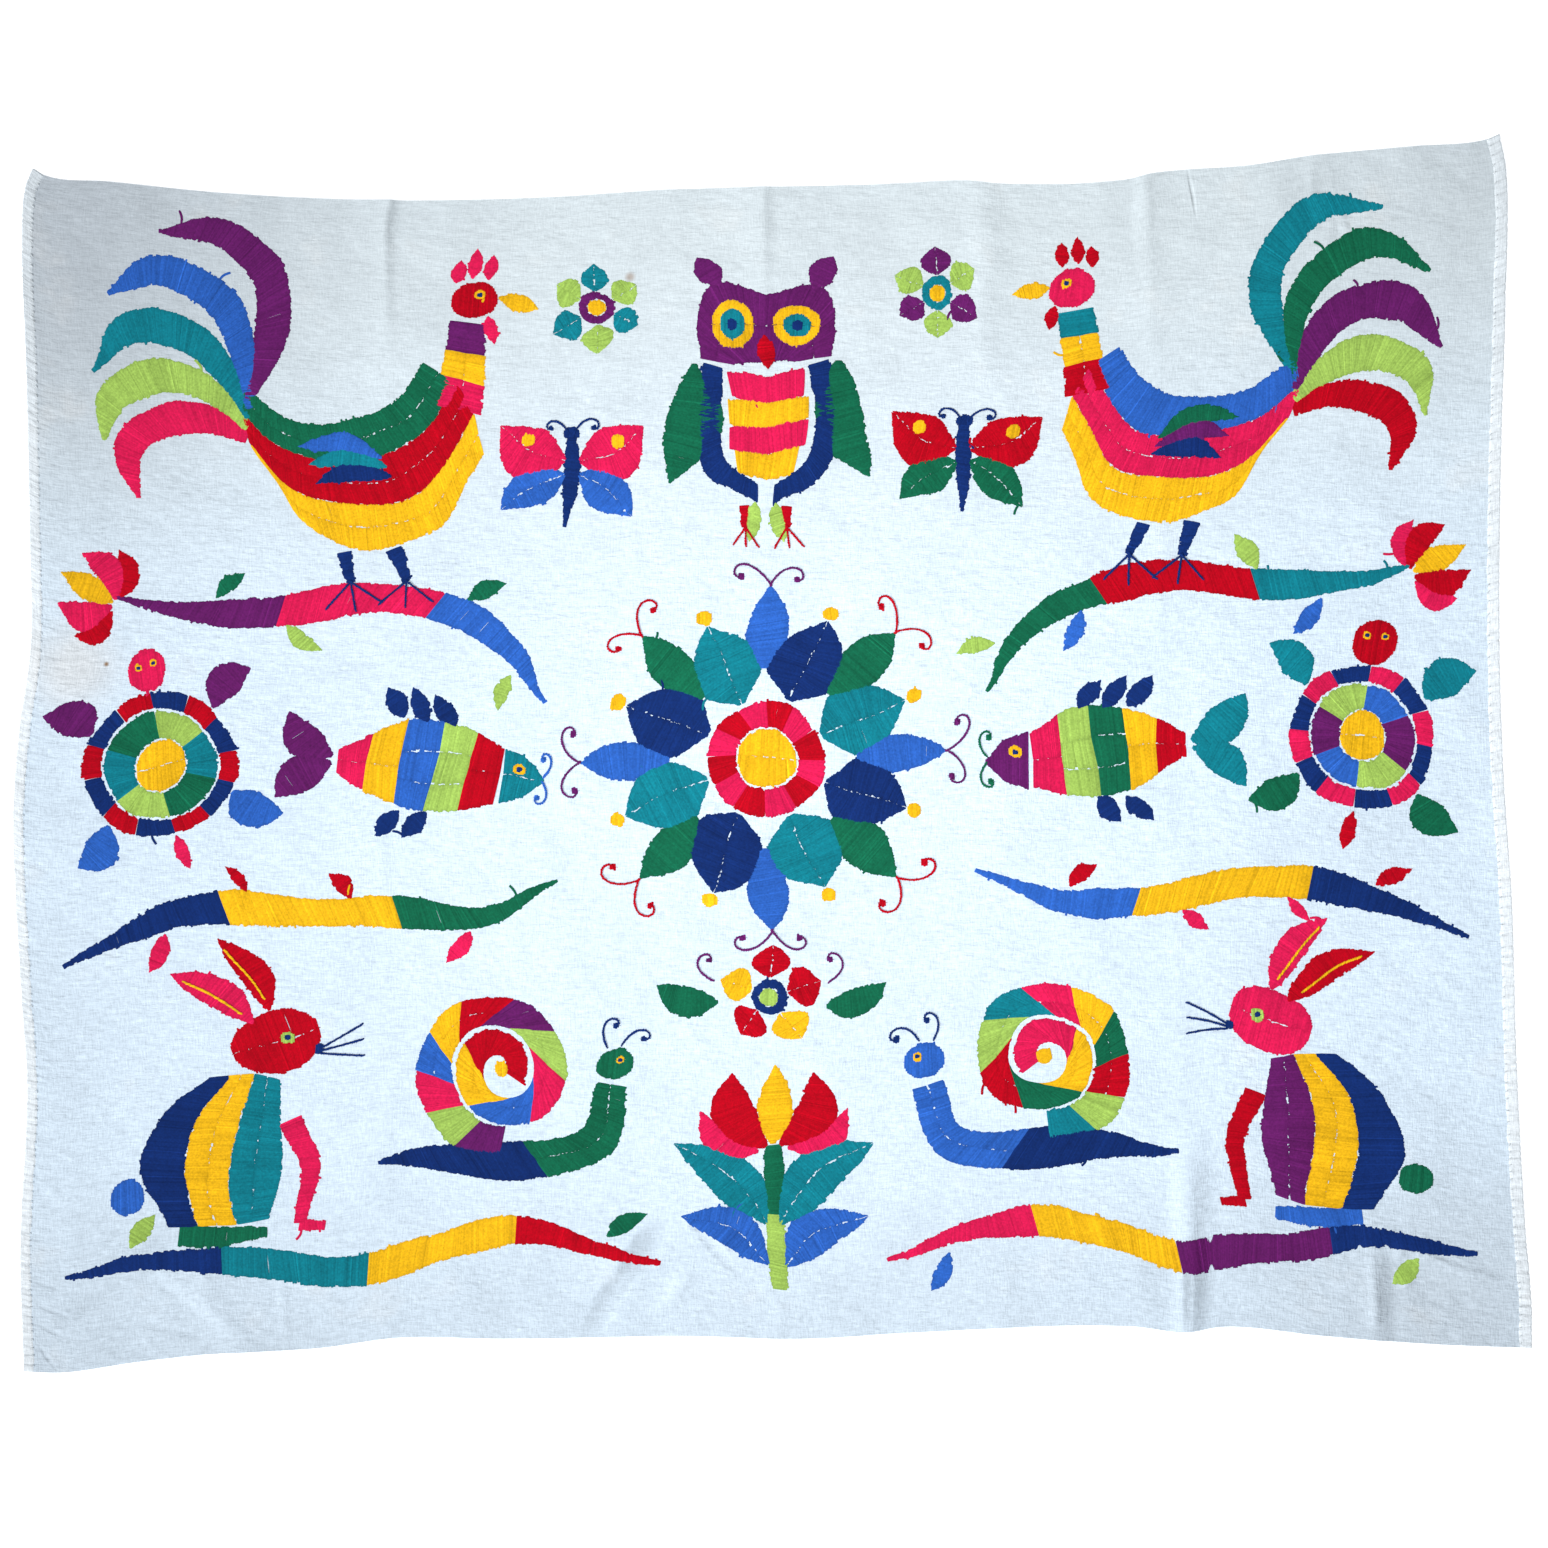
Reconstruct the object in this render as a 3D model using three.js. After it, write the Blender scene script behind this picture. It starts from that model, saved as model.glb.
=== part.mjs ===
// An embroidered cotton cloth, lying face up.
// It is one woven sheet with a narrow turned hem down each side, plain edges at the top and the
// bottom, two pulled-out top corners, and the low folds that its storage has left in it.
// X runs to the right along the cloth, Y to its top edge and Z up. Lengths are in millimetres.
import * as THREE from 'three';

// Thickness of the cloth, and of a side hem where the cloth is turned under
const SHEET_THICKNESS = 1.6;
const HEM_THICKNESS = 2.6;
const LEFT_HEM_WIDTH = 11;
const RIGHT_HEM_WIDTH = 13;
const HEM_SLOPE = 3;

// The four corner points of the sheet, before the whole is centred on the origin
const CORNERS = {
  topLeft: { x: -796, y: 629 },
  topRight: { x: 780, y: 666 },
  bottomLeft: { x: -806, y: -664 },
  bottomRight: { x: 815, y: -639 },
};

// How far each edge lies inside the straight line between its two corners.
// A minus sign means that the edge bulges out. The top and bottom run from left to right,
// the sides from top to bottom.
const TOP_EDGE = [
  { along: 0, inset: 0 },
  { along: 0.008, inset: 8 },
  { along: 0.05, inset: 16 },
  { along: 0.14, inset: 33 },
  { along: 0.25, inset: 44 },
  { along: 0.36, inset: 44 },
  { along: 0.43, inset: 39.5 },
  { along: 0.59, inset: 38.5 },
  { along: 0.635, inset: 37 },
  { along: 0.66, inset: 41 },
  { along: 0.745, inset: 40 },
  { along: 0.765, inset: 33.5 },
  { along: 0.83, inset: 27.5 },
  { along: 0.87, inset: 19 },
  { along: 0.945, inset: 11 },
  { along: 0.992, inset: 5.5 },
  { along: 1, inset: 0 },
];
const BOTTOM_EDGE = [
  { along: 0, inset: 0 },
  { along: 0.025, inset: -2 },
  { along: 0.075, inset: 8 },
  { along: 0.12, inset: 15 },
  { along: 0.195, inset: 20 },
  { along: 0.25, inset: 30 },
  { along: 0.32, inset: 27 },
  { along: 0.44, inset: 27 },
  { along: 0.515, inset: 22 },
  { along: 0.59, inset: 27 },
  { along: 0.735, inset: 30 },
  { along: 0.768, inset: 23 },
  { along: 0.797, inset: 28 },
  { along: 0.86, inset: 17 },
  { along: 0.925, inset: 7 },
  { along: 1, inset: 0 },
];
const LEFT_EDGE = [
  { along: 0, inset: 0 },
  { along: 0.014, inset: -7.5 },
  { along: 0.06, inset: -11.3 },
  { along: 0.16, inset: -6 },
  { along: 0.32, inset: 0 },
  { along: 0.395, inset: 1.5 },
  { along: 0.475, inset: -11.5 },
  { along: 0.54, inset: -16.2 },
  { along: 0.68, inset: -6.5 },
  { along: 0.76, inset: 1 },
  { along: 0.9, inset: -5 },
  { along: 1, inset: 0 },
];
const RIGHT_EDGE = [
  { along: 0, inset: 0 },
  { along: 0.028, inset: -6 },
  { along: 0.145, inset: -1.3 },
  { along: 0.26, inset: 7 },
  { along: 0.4, inset: 14 },
  { along: 0.53, inset: 14 },
  { along: 0.62, inset: 9 },
  { along: 0.77, inset: 8 },
  { along: 0.9, inset: 3.5 },
  { along: 0.965, inset: -1 },
  { along: 1, inset: 0 },
];

// The folds that stand up from the surface below. A fold runs from one point of the sheet to
// another, each given as its share of the width from the left and of the height from the top.
// It is half wide on each side of its line, rises to its full height along the line, and
// fades out over its last stretch at both ends.
// The creases are sharp at the top. They run down the sheet where it was folded in quarters.
const CREASES = [
  { name: 'left quarter, top', from: [0.2435, -0.08], to: [0.246, 0.16], half: 15, rise: 5, fade: 110 },
  { name: 'left quarter', from: [0.246, 0.06], to: [0.243, 1.08], half: 15, rise: 2.2, fade: 60 },
  { name: 'middle', from: [0.499, -0.08], to: [0.503, 1.08], half: 16, rise: 2.6, fade: 60 },
  { name: 'right quarter', from: [0.764, 0.08], to: [0.776, 0.9], half: 17, rise: 3.4, fade: 110 },
];
const ROUND_FOLDS = [
  { name: 'past the middle', from: [0.65, -0.1], to: [0.646, 0.2], half: 26, rise: 4.5, fade: 150 },
  { name: 'right quarter, top', from: [0.756, -0.08], to: [0.764, 0.22], half: 20, rise: 6, fade: 90 },
  { name: 'right quarter, bottom', from: [0.777, 0.8], to: [0.7725, 1.08], half: 25, rise: 9, fade: 130 },
  { name: 'bottom, left part', from: [0.399, 0.9], to: [0.395, 1.08], half: 24, rise: 4, fade: 90 },
  { name: 'bottom, right part', from: [0.899, 0.87], to: [0.896, 1.08], half: 19, rise: 5, fade: 90 },
  { name: 'to the right hem', from: [0.89, 0.905], to: [0.985, 0.948], half: 18, rise: 4.5, fade: 45 },
  { name: 'by the left corner', from: [0.108, 0.905], to: [0.152, 1.02], half: 18, rise: 3.6, fade: 60 },
];
const FOLDS = [...CREASES, ...ROUND_FOLDS];

// Spacing of the grid that carries the shape: wide where the cloth is flat, close at a fold
const WIDE_SPACING = 80;
const ROW_SPACING = 60;
const CLOSEST_SPACING = 7;
const EDGE_ROWS = [8, 26];

// Mean size of the sheet between its corners
const topWidth = CORNERS.topRight.x - CORNERS.topLeft.x;
const bottomWidth = CORNERS.bottomRight.x - CORNERS.bottomLeft.x;
const leftHeight = CORNERS.topLeft.y - CORNERS.bottomLeft.y;
const rightHeight = CORNERS.topRight.y - CORNERS.bottomRight.y;
const flatWidth = (topWidth + bottomWidth) / 2;
const flatHeight = (leftHeight + rightHeight) / 2;

// A smooth function through the rows of an edge table
function edgeFunction(rows) {
  const along = rows.map((row) => row.along);
  const inset = rows.map((row) => row.inset);
  const curve = new THREE.CubicInterpolant(along, inset, 1);
  return (share) => curve.evaluate(share)[0];
}

const topInset = edgeFunction(TOP_EDGE);
const bottomInset = edgeFunction(BOTTOM_EDGE);
const leftInset = edgeFunction(LEFT_EDGE);
const rightInset = edgeFunction(RIGHT_EDGE);

// The place of a point of the sheet on the ground, from its shares of the width and height.
// The wavy sides pull the cloth near them along, and the middle stays put.
function placeOnGround(across, down) {
  const { topLeft, topRight, bottomLeft, bottomRight } = CORNERS;
  const { lerp } = THREE.MathUtils;
  const topX = lerp(topLeft.x, topRight.x, across);
  const bottomX = lerp(bottomLeft.x, bottomRight.x, across);
  const topY = lerp(topLeft.y, topRight.y, across) - topInset(across);
  const bottomY = lerp(bottomLeft.y, bottomRight.y, across) + bottomInset(across);
  const sideX = leftInset(down) * (1 - across) ** 2 - rightInset(down) * across ** 2;
  return new THREE.Vector2(lerp(topX, bottomX, down) + sideX, lerp(topY, bottomY, down));
}

// A point of the flat sheet, as lengths from its top left corner
function flatPoint([across, down]) {
  return new THREE.Vector3(across * flatWidth, down * flatHeight, 0);
}

// How high a fold lifts a point of the flat sheet
function foldHeight(fold, point) {
  const line = new THREE.Line3(flatPoint(fold.from), flatPoint(fold.to));
  const share = line.closestPointToPointParameter(point, true);
  const nearest = line.at(share, new THREE.Vector3());
  const aside = Math.min(1, nearest.distanceTo(point) / fold.half);
  const toEnd = Math.min(share, 1 - share) * line.distance();
  const faded = THREE.MathUtils.smoothstep(toEnd, 0, fold.fade);
  const profile = CREASES.includes(fold) ? (1 - aside) ** 2 : (1 + Math.cos(Math.PI * aside)) / 2;
  return fold.rise * profile * faded;
}

function liftAt(across, down) {
  const point = flatPoint([across, down]);
  return Math.max(...FOLDS.map((fold) => foldHeight(fold, point)));
}

// Full thickness over a hem, then a short slope down to the sheet
function thicknessAt(across) {
  const { clamp, lerp } = THREE.MathUtils;
  const intoLeft = across * flatWidth - LEFT_HEM_WIDTH;
  const intoRight = (1 - across) * flatWidth - RIGHT_HEM_WIDTH;
  const share = clamp(Math.min(intoLeft, intoRight) / HEM_SLOPE, 0, 1);
  return lerp(HEM_THICKNESS, SHEET_THICKNESS, share);
}

// Sorted grid lines, kept at least the closest spacing apart but for those that must stay
function gridLines(fixed, loose, length) {
  const kept = [...fixed];
  for (const line of loose) {
    const clear = kept.every((other) => Math.abs(other - line) * length >= CLOSEST_SPACING);
    if (line > 0 && line < 1 && clear) kept.push(line);
  }
  return kept.sort((a, b) => a - b);
}

function evenLines(length, spacing) {
  const count = Math.round(length / spacing);
  return Array.from({ length: count - 1 }, (_, index) => (index + 1) / count);
}

function columnLines() {
  const leftHem = [0, LEFT_HEM_WIDTH / flatWidth, (LEFT_HEM_WIDTH + HEM_SLOPE) / flatWidth];
  const rightHem = [0, RIGHT_HEM_WIDTH / flatWidth, (RIGHT_HEM_WIDTH + HEM_SLOPE) / flatWidth];
  const hems = [...leftHem, ...rightHem.map((line) => 1 - line)];
  const folds = FOLDS.flatMap((fold) => {
    const half = fold.half / flatWidth;
    const middle = (fold.from[0] + fold.to[0]) / 2;
    return [middle, middle - half / 2, middle + half / 2, middle - half, middle + half];
  });
  return gridLines(hems, [...folds, ...evenLines(flatWidth, WIDE_SPACING)], flatWidth);
}

function rowLines() {
  const nearEdges = EDGE_ROWS.flatMap((inward) => [inward / flatHeight, 1 - inward / flatHeight]);
  return gridLines([0, 1], [...nearEdges, ...evenLines(flatHeight, ROW_SPACING)], flatHeight);
}

// One closed solid: an upper and a lower skin on the same grid, and a rim that joins them
function makeCloth() {
  const columns = columnLines();
  const rows = rowLines();
  const positions = [];
  for (const skin of ['lower', 'upper']) {
    for (const down of rows) {
      for (const across of columns) {
        const place = placeOnGround(across, down);
        const lift = liftAt(across, down);
        const height = skin === 'upper' ? lift + thicknessAt(across) : lift;
        positions.push(place.x, place.y, height);
      }
    }
  }

  const skinSize = columns.length * rows.length;
  const lower = (row, column) => row * columns.length + column;
  const upper = (row, column) => lower(row, column) + skinSize;
  const faces = [];
  const addQuad = (a, b, c, d) => faces.push(a, b, c, a, c, d);
  const addRim = ([row, column], [nextRow, nextColumn]) => {
    const below = [lower(row, column), lower(nextRow, nextColumn)];
    addQuad(...below, upper(nextRow, nextColumn), upper(row, column));
  };

  const lastRow = rows.length - 1;
  const lastColumn = columns.length - 1;
  for (let row = 0; row < lastRow; row += 1) {
    const next = row + 1;
    for (let column = 0; column < lastColumn; column += 1) {
      const right = column + 1;
      addQuad(upper(row, column), upper(next, column), upper(next, right), upper(row, right));
      addQuad(lower(row, column), lower(row, right), lower(next, right), lower(next, column));
    }
    addRim([row, 0], [next, 0]);
    addRim([next, lastColumn], [row, lastColumn]);
  }
  for (let column = 0; column < lastColumn; column += 1) {
    addRim([0, column + 1], [0, column]);
    addRim([lastRow, column], [lastRow, column + 1]);
  }

  const geometry = new THREE.BufferGeometry();
  geometry.setAttribute('position', new THREE.Float32BufferAttribute(positions, 3));
  geometry.setIndex(faces);
  geometry.computeBoundingBox();
  const middle = geometry.boundingBox.getCenter(new THREE.Vector3());
  geometry.translate(-middle.x, -middle.y, 0);
  geometry.computeVertexNormals();
  return geometry;
}

const cotton = new THREE.MeshStandardMaterial({ color: 0xd9e2ee, roughness: 0.92, metalness: 0 });
const cloth = new THREE.Mesh(makeCloth(), cotton);
cloth.name = 'cloth';

const group = new THREE.Group();
group.add(cloth);

export default group;
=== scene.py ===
# An embroidered cotton cloth that lies face up: its woven sheet, its two hand-sewn side hems,
# and a mirrored pattern of laid and stem stitches in nine colours of thread.
# The shapes are worked out in millimetres on the flat sheet, with X to the right and Y to the
# top edge from its middle, and are then laid on the resting cloth in metres.
import math

import bmesh
import bpy
import numpy as np
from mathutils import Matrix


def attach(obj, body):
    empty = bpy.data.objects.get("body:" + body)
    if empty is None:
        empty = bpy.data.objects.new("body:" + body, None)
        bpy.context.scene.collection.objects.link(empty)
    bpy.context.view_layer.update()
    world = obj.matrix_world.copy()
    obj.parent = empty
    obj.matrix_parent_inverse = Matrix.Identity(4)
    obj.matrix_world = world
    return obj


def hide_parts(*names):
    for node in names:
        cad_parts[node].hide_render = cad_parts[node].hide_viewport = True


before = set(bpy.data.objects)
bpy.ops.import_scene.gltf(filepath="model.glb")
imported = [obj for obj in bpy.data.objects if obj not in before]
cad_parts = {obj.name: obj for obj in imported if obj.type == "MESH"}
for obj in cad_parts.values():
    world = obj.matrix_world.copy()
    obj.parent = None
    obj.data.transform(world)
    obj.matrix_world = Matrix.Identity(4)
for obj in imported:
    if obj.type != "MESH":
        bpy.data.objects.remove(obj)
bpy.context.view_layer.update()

bl_info = {
    "name": "Embroidered cloth",
    "version": (1, 0, 0),
    "blender": (4, 5, 0),
    "location": "3D View > Sidebar > Cloth",
    "description": "Makes an embroidered cotton cloth, its stitches and a plain studio",
    "category": "Add Mesh",
}

MM = 0.001
BODY = "root"
CLOTH_NODE = "cloth"

# The four corner points of the sheet, before the whole is centred on the origin
TOP_LEFT = (-796, 629)
TOP_RIGHT = (780, 666)
BOTTOM_LEFT = (-806, -664)
BOTTOM_RIGHT = (815, -639)

# How far each edge lies inside the straight line between its corners, as rows of the share
# along the edge and the inset. The top and bottom run from left to right, the sides downwards.
TOP_EDGE = (
    (0, 0), (0.008, 8), (0.05, 16), (0.14, 33), (0.25, 44), (0.36, 44), (0.43, 39.5), (0.59, 38.5),
    (0.635, 37), (0.66, 41), (0.745, 40), (0.765, 33.5), (0.83, 27.5), (0.87, 19), (0.945, 11),
    (0.992, 5.5), (1, 0),
)
BOTTOM_EDGE = (
    (0, 0), (0.025, -2), (0.075, 8), (0.12, 15), (0.195, 20), (0.25, 30), (0.32, 27), (0.44, 27),
    (0.515, 22), (0.59, 27), (0.735, 30), (0.768, 23), (0.797, 28), (0.86, 17), (0.925, 7), (1, 0),
)
LEFT_EDGE = (
    (0, 0), (0.014, -7.5), (0.06, -11.3), (0.16, -6), (0.32, 0), (0.395, 1.5), (0.475, -11.5),
    (0.54, -16.2), (0.68, -6.5), (0.76, 1), (0.9, -5), (1, 0),
)
RIGHT_EDGE = (
    (0, 0), (0.028, -6), (0.145, -1.3), (0.26, 7), (0.4, 14), (0.53, 14), (0.62, 9), (0.77, 8),
    (0.9, 3.5), (0.965, -1), (1, 0),
)

# The folds, as rows of where they start and end (shares of the width from the left and of the
# height from the top), how far they reach to the left and to the right, their rise, and the
# stretch over which they fade out.
# Creases are sharp at the top and run where the cloth was folded in quarters.
CREASES = (
    ((0.2435, -0.08), (0.246, 0.16), 60, 14, 6.2, 110),
    ((0.246, 0.06), (0.243, 1.08), 50, 15, 2.2, 60),
    ((0.499, -0.08), (0.503, 1.08), 50, 14, 3.2, 60),
    ((0.756, -0.08), (0.762, 0.24), 24, 40, 3.4, 90),
    ((0.764, 0.08), (0.776, 0.9), 50, 20, 3.2, 110),
)
ROUND_FOLDS = (
    ((0.65, -0.1), (0.646, 0.2), 26, 4.5, 150),
    ((0.872, -0.08), (0.878, 0.12), 16, 3.2, 70),
    ((0.777, 0.8), (0.7725, 1.08), 25, 9, 130),
    ((0.399, 0.9), (0.395, 1.08), 24, 2.8, 90),
    ((0.899, 0.87), (0.896, 1.08), 19, 5, 90),
    ((0.89, 0.905), (0.985, 0.948), 18, 4.5, 45),
    ((0.108, 0.905), (0.152, 1.02), 18, 3.6, 60),
)
# Shares of the width at which the sheet's grid is finest, along its quarter creases
QUARTERS = (0.245, 0.501, 0.77)

# The thin creases, as rows of where they start and end on the flat sheet, how far they reach to
# each side, and their rise. Those with a rise below zero are hollows.
THIN_CREASES = (
    ((459, 655), (464, 591), 3, -0.9),
    ((437, 394), (441, 332), 5, -0.5),
    ((409, 660), (404, 542), 14, 0.8),
    ((601, 652), (599, 551), 14, -1.5),
    ((611, 600), (636, 532), 8, 0.8),
    ((678, -545), (748, -567), 5, -1.1),
    ((738, -565), (782, -573), 9, -1.2),
    ((650, -594), (683, -577), 7, 1.8),
    ((655, -563), (676, -530), 8, 1.4),
    ((751, -560), (781, -543), 4, 0.5),
    ((632, -545), (634, -655), 9, 0.9),
    ((650, -535), (648, -665), 20, -2.2),
    ((-680, -526), (-541, -655), 13, 1.2),
    ((-525, -551), (-520, -655), 9, 0.7),
    ((-112, -508), (-168, -596), 20, -4.4),
    ((-150, -560), (-204, -648), 17, -3.4),
    ((-80, -552), (-130, -632), 16, 2.2),
    ((-96, -508), (-40, -580), 10, -1.3),
    ((-60, -500), (-8, -560), 12, 1.0),
    ((-600, -480), (-690, -560), 22, -1.2),
    ((452, -530), (447, -665), 24, -3.4),
    ((438, -545), (433, -665), 7, -1.2),
    ((762, 161), (797, 162), 3, -0.4),
    ((-786, -615), (-761, -650), 4, -0.7),
    ((-782, -598), (-750, -612), 4, -0.9),
    ((-784, -575), (-745, -590), 4, -0.8),
    ((-786, -550), (-752, -560), 4, -0.6),
    ((-783, -604), (-676, -556), 12, -1.3),
    ((-690, -600), (-600, -634), 7, -0.8),
)

# How much painted shade darkens the hollow of a thin crease, and painted light brightens its ridge, for
# each metre of its depth or rise
CREASE_SHADE = 40

# Patches on the cotton, as rows of a place on the flat sheet and how far the patch reaches round it,
# both in metres, and its strength. The grey patches towards the corners are partly painted shade
# and partly greyer cotton. The beige patches and brown spots are stains.
GREY_PATCHES = (
    ((-0.8, 0.62), 0.44, 0.85),
    ((-0.42, 0.64), 0.24, 0.25),
    ((0.8, 0.66), 0.42, 0.25),
    ((0.74, -0.62), 0.3, 0.3),
    ((-0.8, -0.66), 0.26, 0.06),
)
BEIGE_PATCHES = (((-0.75, 0.116), 0.07, 0.4),)
BROWN_SPOTS = (
    ((-0.146, 0.553), 0.008, 0.6),
    ((-0.716, 0.121), 0.004, 1),
)

HEM_WIDTHS = {"left": 11, "right": 13}


def srgb(red, green, blue):
    """A colour as it looks, in parts of 255, as the linear colour that Blender keeps."""
    parts = np.array([red, green, blue]) / 255
    return (*np.where(parts > 0.04045, ((parts + 0.055) / 1.055) ** 2.4, parts / 12.92), 1.0)


def colour_choice(name, red, green, blue):
    return bpy.props.FloatVectorProperty(
        name=name, description=f"Colour of the {name.lower()}", default=srgb(red, green, blue),
        size=4, min=0, max=1, subtype="COLOR",
    )


def length_choice(name, description, millimetres):
    return bpy.props.FloatProperty(
        name=name, description=description, default=millimetres * MM, min=0, unit="LENGTH",
    )


def angle_choice(name, description, degrees):
    return bpy.props.FloatProperty(
        name=name, description=description, default=math.radians(degrees), subtype="ANGLE",
    )


def number_choice(name, description, number):
    return bpy.props.FloatProperty(name=name, description=description, default=number, min=0)


class ClothSettings(bpy.types.PropertyGroup):
    """Sizes and colours of the woven sheet and its hems."""
    thickness: length_choice("Thickness", "Thickness of the woven sheet", 1.2)
    spacing: length_choice("Grid spacing", "Spacing of the sheet's grid where it is flat", 9.5)
    fine_spacing: length_choice("Fine spacing", "Spacing of the grid at a crease", 3)
    ripple: length_choice("Ripple", "Height of the soft waves over the whole sheet", 1.1)
    crinkle: length_choice("Crinkle", "Height of the small creases of washed cotton", 1.6)
    grain: length_choice("Grain", "Height of the threads of the weave", 0.42)
    hem_height: length_choice("Hem height", "Height of the turned hems", 1.75)
    cotton: colour_choice("Cotton", 216, 233, 248)
    # The colour of the painted shade towards the top edge
    top_shaded: colour_choice("Painted top shade", 208, 218, 222)
    # The colour towards the corners and edges, partly painted shade and partly greyer cotton
    grey_and_shade: colour_choice("Grey and shaded cotton", 180, 189, 197)
    aged: colour_choice("Aged cotton", 222, 214, 204)
    spots: colour_choice("Brown spots", 150, 122, 96)
    hem: colour_choice("Hem", 238, 246, 252)


class ThreadSettings(bpy.types.PropertyGroup):
    """Sizes and colours of the stitches."""
    pitch: length_choice("Pitch", "Distance between two laid stitches", 1.4)
    width: length_choice("Thread width", "Width of a laid thread", 2.6)
    height: length_choice("Thread height", "Height of a laid thread", 0.24)
    arch: length_choice("Arch", "How far the middle of a laid stitch stands up", 0.42)
    ragged: length_choice("Ragged ends", "How unevenly the stitches end", 0.7)
    stem: length_choice("Stem stitch", "Distance between two stitches of a line", 2.4)
    stem_length: length_choice("Stem stitch length", "Length of a stitch of a line", 4.4)
    stem_width: length_choice("Stem stitch width", "Width of a stitch of a line", 1.9)
    stem_height: length_choice("Stem stitch height", "Height of a stitch of a line", 0.75)
    stem_slant: angle_choice("Stem stitch slant", "Angle between a stitch and its line", 16)
    hem_width: length_choice("Hem stitch width", "Width of the thread that holds a hem", 0.9)
    hem_height: length_choice("Hem stitch height", "Height of the thread that holds a hem", 0.5)
    hem_arch: length_choice("Hem stitch arch", "How far a stitch over a hem stands up", 0.4)
    green: colour_choice("Green thread", 19, 108, 77)
    teal: colour_choice("Teal thread", 17, 132, 149)
    blue: colour_choice("Blue thread", 49, 105, 202)
    navy: colour_choice("Navy thread", 19, 49, 116)
    red: colour_choice("Red thread", 196, 3, 29)
    pink: colour_choice("Pink thread", 233, 30, 88)
    purple: colour_choice("Purple thread", 107, 31, 106)
    yellow: colour_choice("Yellow thread", 255, 196, 28)
    lime: colour_choice("Lime thread", 170, 207, 98)
    white: colour_choice("White thread", 236, 242, 246)


class StudioSettings(bpy.types.PropertyGroup):
    """The plain studio round the cloth."""
    sun: number_choice("Key light", "Strength of the light from the left", 2.6)
    key_height: angle_choice("Key height", "Angle of the key light above the floor", 36)
    key_turn: angle_choice("Key turn", "Angle of the key light from the left to the lower edge", 30)
    key_spread: angle_choice("Key spread", "Angle over which the key light spreads", 14)
    fill: number_choice("Fill light", "Strength of the even light all round", 0.445)
    lamp: number_choice("Lamp", "Power of the round lamp over the middle of the cloth", 3.75)
    lamp_height: length_choice("Lamp height", "Height of the lamp above the cloth", 900)
    lamp_width: length_choice("Lamp width", "Width of the lamp", 500)
    lens: number_choice("Lens", "Focal length of the camera in millimetres", 85)
    floor_half: length_choice("Floor size", "Half of the floor's width", 8000)
    floor_gap: length_choice("Floor gap", "How far the floor lies below the cloth", 0.3)
    floor: colour_choice("Floor", 252, 252, 253)
    sky: colour_choice("Light all round", 252, 253, 255)
    glow: number_choice("Floor light", "Strength of the light from within the floor", 0.55)


# Node trees


class Value:
    """A number in a node tree. A sum on it adds Math nodes, so a formula reads as it is."""

    def __init__(self, nodes, socket):
        self.nodes = nodes
        self.socket = socket

    def maths(self, operation, *numbers, clamp=False):
        settings = {"operation": operation, "use_clamp": clamp}
        return self.nodes.value("ShaderNodeMath", settings, dict(enumerate(numbers)))

    def __add__(self, other):
        return self.maths("ADD", self, other)

    def __sub__(self, other):
        return self.maths("SUBTRACT", self, other)

    def __rsub__(self, other):
        return self.maths("SUBTRACT", other, self)

    def __mul__(self, other):
        return self.maths("MULTIPLY", self, other)

    def __pow__(self, other):
        return self.maths("POWER", self, other)

    __radd__ = __add__
    __rmul__ = __mul__

    def clamped(self):
        return self.maths("ADD", self, 0, clamp=True)

    def step(self, low, high):
        """0 below the low number and 1 above the high one, with a smooth rise between."""
        settings = {"interpolation_type": "SMOOTHSTEP"}
        limits = {"Value": self, "From Min": low, "From Max": high}
        return self.nodes.value("ShaderNodeMapRange", settings, limits)


class Nodes:
    """Adds nodes to a tree, with their settings first and then their sockets."""

    def __init__(self, tree):
        self.tree = tree

    def feed(self, node, inputs):
        """Gives a node's sockets their links or their values."""
        for key, given in inputs.items():
            given = given.socket if isinstance(given, Value) else given
            if isinstance(given, bpy.types.NodeSocket):
                self.tree.links.new(given, node.inputs[key])
            else:
                node.inputs[key].default_value = given

    def add(self, kind, settings=None, inputs=None):
        node = self.tree.nodes.new(kind)
        for name, setting in (settings or {}).items():
            setattr(node, name, setting)
        self.feed(node, inputs or {})
        return node

    def value(self, kind, settings=None, inputs=None, output=0):
        return Value(self, self.add(kind, settings, inputs).outputs[output])

    def mix(self, share, first, second):
        """A mix of two colours."""
        inputs = {0: share, 6: first, 7: second}
        return self.add("ShaderNodeMix", {"data_type": "RGBA"}, inputs).outputs[2]

    def scaled(self, colour, factor):
        """A colour or vector times a number."""
        colour = colour if isinstance(colour, bpy.types.NodeSocket) else tuple(colour)[:3]
        inputs = {"Vector": colour, "Scale": factor}
        return self.add("ShaderNodeVectorMath", {"operation": "SCALE"}, inputs).outputs[0]

    def stretched(self, place, x, y):
        """A place times a number for X and one for Y."""
        inputs = {0: place, 1: (x, y, 1.0)}
        return self.add("ShaderNodeVectorMath", {"operation": "MULTIPLY"}, inputs).outputs[0]

    def noise(self, place, scale, detail=2.0, roughness=0.5):
        inputs = {"Vector": place, "Scale": scale, "Detail": detail, "Roughness": roughness}
        return self.value("ShaderNodeTexNoise", {}, inputs)


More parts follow.
